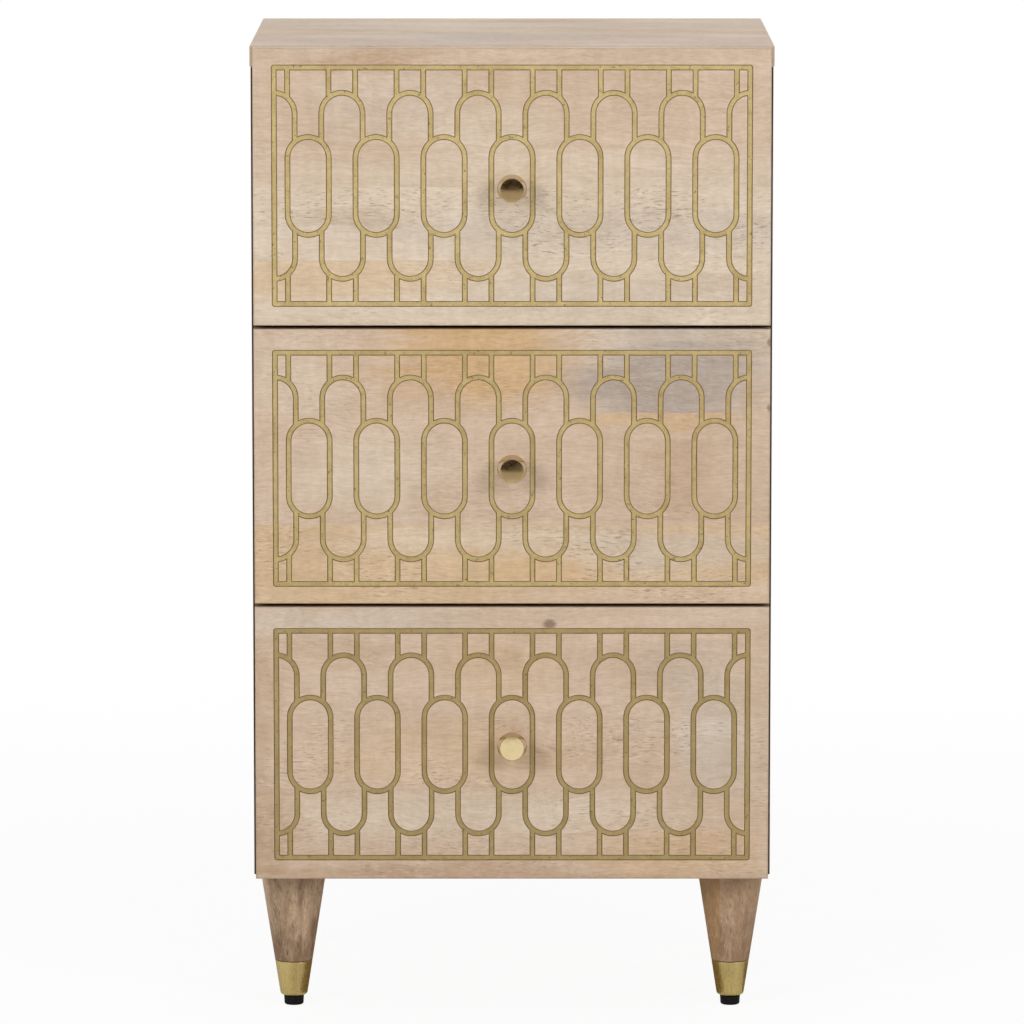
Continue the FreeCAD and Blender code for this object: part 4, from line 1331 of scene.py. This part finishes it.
def set_cards(stage, tints, front_y):
    """Set up the cards that paint reflections into the knobs and the ferrules."""
    upright = Matrix.Rotation(math.pi / 2, 4, "X")
    far = Matrix.Translation((0, front_y - FAR_DISTANCE, FAR_HEIGHT)) @ upright
    matt = {"Base_Color": tints.dark_card, "Roughness": MATT}
    mirrored_card("dark_card", FAR_HALF_WIDTH, FAR_HALF_HEIGHT, far, **matt)
    matt["Base_Color"] = tints.floor_shade_card
    # Painted shade: darker floor in the ferrules' reflections
    for card in FLOOR_SHADE_CARDS:
        flat = Matrix.Translation((card.x, card.y, cad_low.z + FLOOR_SHADE_LIFT))
        mirrored_card(card.name, card.half_width, card.half_depth, flat, **matt)
    for level in ("top", "middle"):
        low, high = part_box(f"{level}_drawer_knob")
        height = (low.z + high.z) / 2
        fall = (stage.camera_height - height) / stage.camera_distance
        split = height - fall * MIRROR_DISTANCE
        # Glowing cards, no lamps, that paint a dark and a grey reflection into each dome
        for shade, turn, tint in (("dark", 1, tints.mirror_dark), ("grey", -1, tints.mirror_grey)):
            centre = Vector((0, front_y - MIRROR_DISTANCE, split + turn * MIRROR_REACH / 2))
            near = Matrix.Translation(centre) @ upright
            mirrored_card(
                f"{level}_{shade}_card", MIRROR_HALF_WIDTH, MIRROR_REACH / 2, near, Base_Color=(0, 0, 0),
                Specular_IOR_Level=0.0, Emission_Color=tint, Emission_Strength=1.0,
            )


def set_camera(scene, stage, front_y):
    """Set up the camera in front of the chest, looking a little down."""
    lens = bpy.data.cameras.new("camera")
    lens.lens = stage.lens
    lens.clip_end = 100
    camera = bpy.data.objects.new("camera", lens)
    camera.location = (0, front_y - stage.camera_distance, stage.camera_height)
    camera.rotation_euler = (math.pi / 2 - stage.camera_pitch, 0, 0)
    scene.collection.objects.link(camera)
    scene.camera = camera


class CHEST_OT_stage(bpy.types.Operator):
    """Set the floor, the lights and the camera"""

    bl_idname = "chest.stage"
    bl_label = "Stage"

    def execute(self, context):
        scene, stage, tints = context.scene, context.scene.chest_stage, context.scene.chest_tints
        scene.view_settings.view_transform = "Standard"
        scene.world = studio_world(stage.sky)
        place = Matrix.Translation((0, 0, cad_low.z))
        floor = sheet("floor", FLOOR_HALF_WIDTH, FLOOR_HALF_WIDTH, place)
        floor.data.materials.append(floor_finish(tints))
        front_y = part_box("top_drawer_front")[0].y
        set_cards(stage, tints, front_y)
        middle = Vector((0, 0, (cad_low.z + cad_high.z) / 2))
        for lamp in LAMPS:
            soft_box(lamp, middle, getattr(stage, lamp.power))
        set_camera(scene, stage, front_y)
        return {"FINISHED"}


class CHEST_PT_chest(bpy.types.Panel):
    """Steps that dress the chest, and their sizes and colours"""

    bl_label = "Lattice Drawer Chest"
    bl_space_type = "VIEW_3D"
    bl_region_type = "UI"
    bl_category = "Chest"

    def draw(self, context):
        for operator in OPERATORS:
            self.layout.operator(operator.bl_idname)
        for group in (context.scene.chest_shape, context.scene.chest_tints, context.scene.chest_stage):
            for name in group.bl_rna.properties.keys():
                if name not in ("rna_type", "name"):
                    self.layout.prop(group, name)


GROUPS = (ChestShape, ChestTints, ChestStage)
OPERATORS = (
    CHEST_OT_carcass, CHEST_OT_drawer_fronts, CHEST_OT_drawer_boxes, CHEST_OT_knobs, CHEST_OT_legs,
    CHEST_OT_ferrules, CHEST_OT_glides, CHEST_OT_runners, CHEST_OT_screws, CHEST_OT_fasteners,
    CHEST_OT_stage,
)


def register():
    """Make the groups, operators and panel known."""
    for item in (*GROUPS, *OPERATORS, CHEST_PT_chest):
        bpy.utils.register_class(item)
    bpy.types.Scene.chest_shape = PointerProperty(type=ChestShape)
    bpy.types.Scene.chest_tints = PointerProperty(type=ChestTints)
    bpy.types.Scene.chest_stage = PointerProperty(type=ChestStage)


def unregister():
    """Take everything away again."""
    del bpy.types.Scene.chest_stage
    del bpy.types.Scene.chest_tints
    del bpy.types.Scene.chest_shape
    for item in reversed((*GROUPS, *OPERATORS, CHEST_PT_chest)):
        bpy.utils.unregister_class(item)


def main():
    """Dress the chest."""
    register()
    bpy.ops.chest.carcass()
    bpy.ops.chest.drawer_fronts()
    bpy.ops.chest.drawer_boxes()
    bpy.ops.chest.knobs()
    bpy.ops.chest.legs()
    bpy.ops.chest.ferrules()
    bpy.ops.chest.glides()
    bpy.ops.chest.runners()
    bpy.ops.chest.screws()
    bpy.ops.chest.fasteners()
    bpy.ops.chest.stage()


if __name__ == "__main__":
    main()
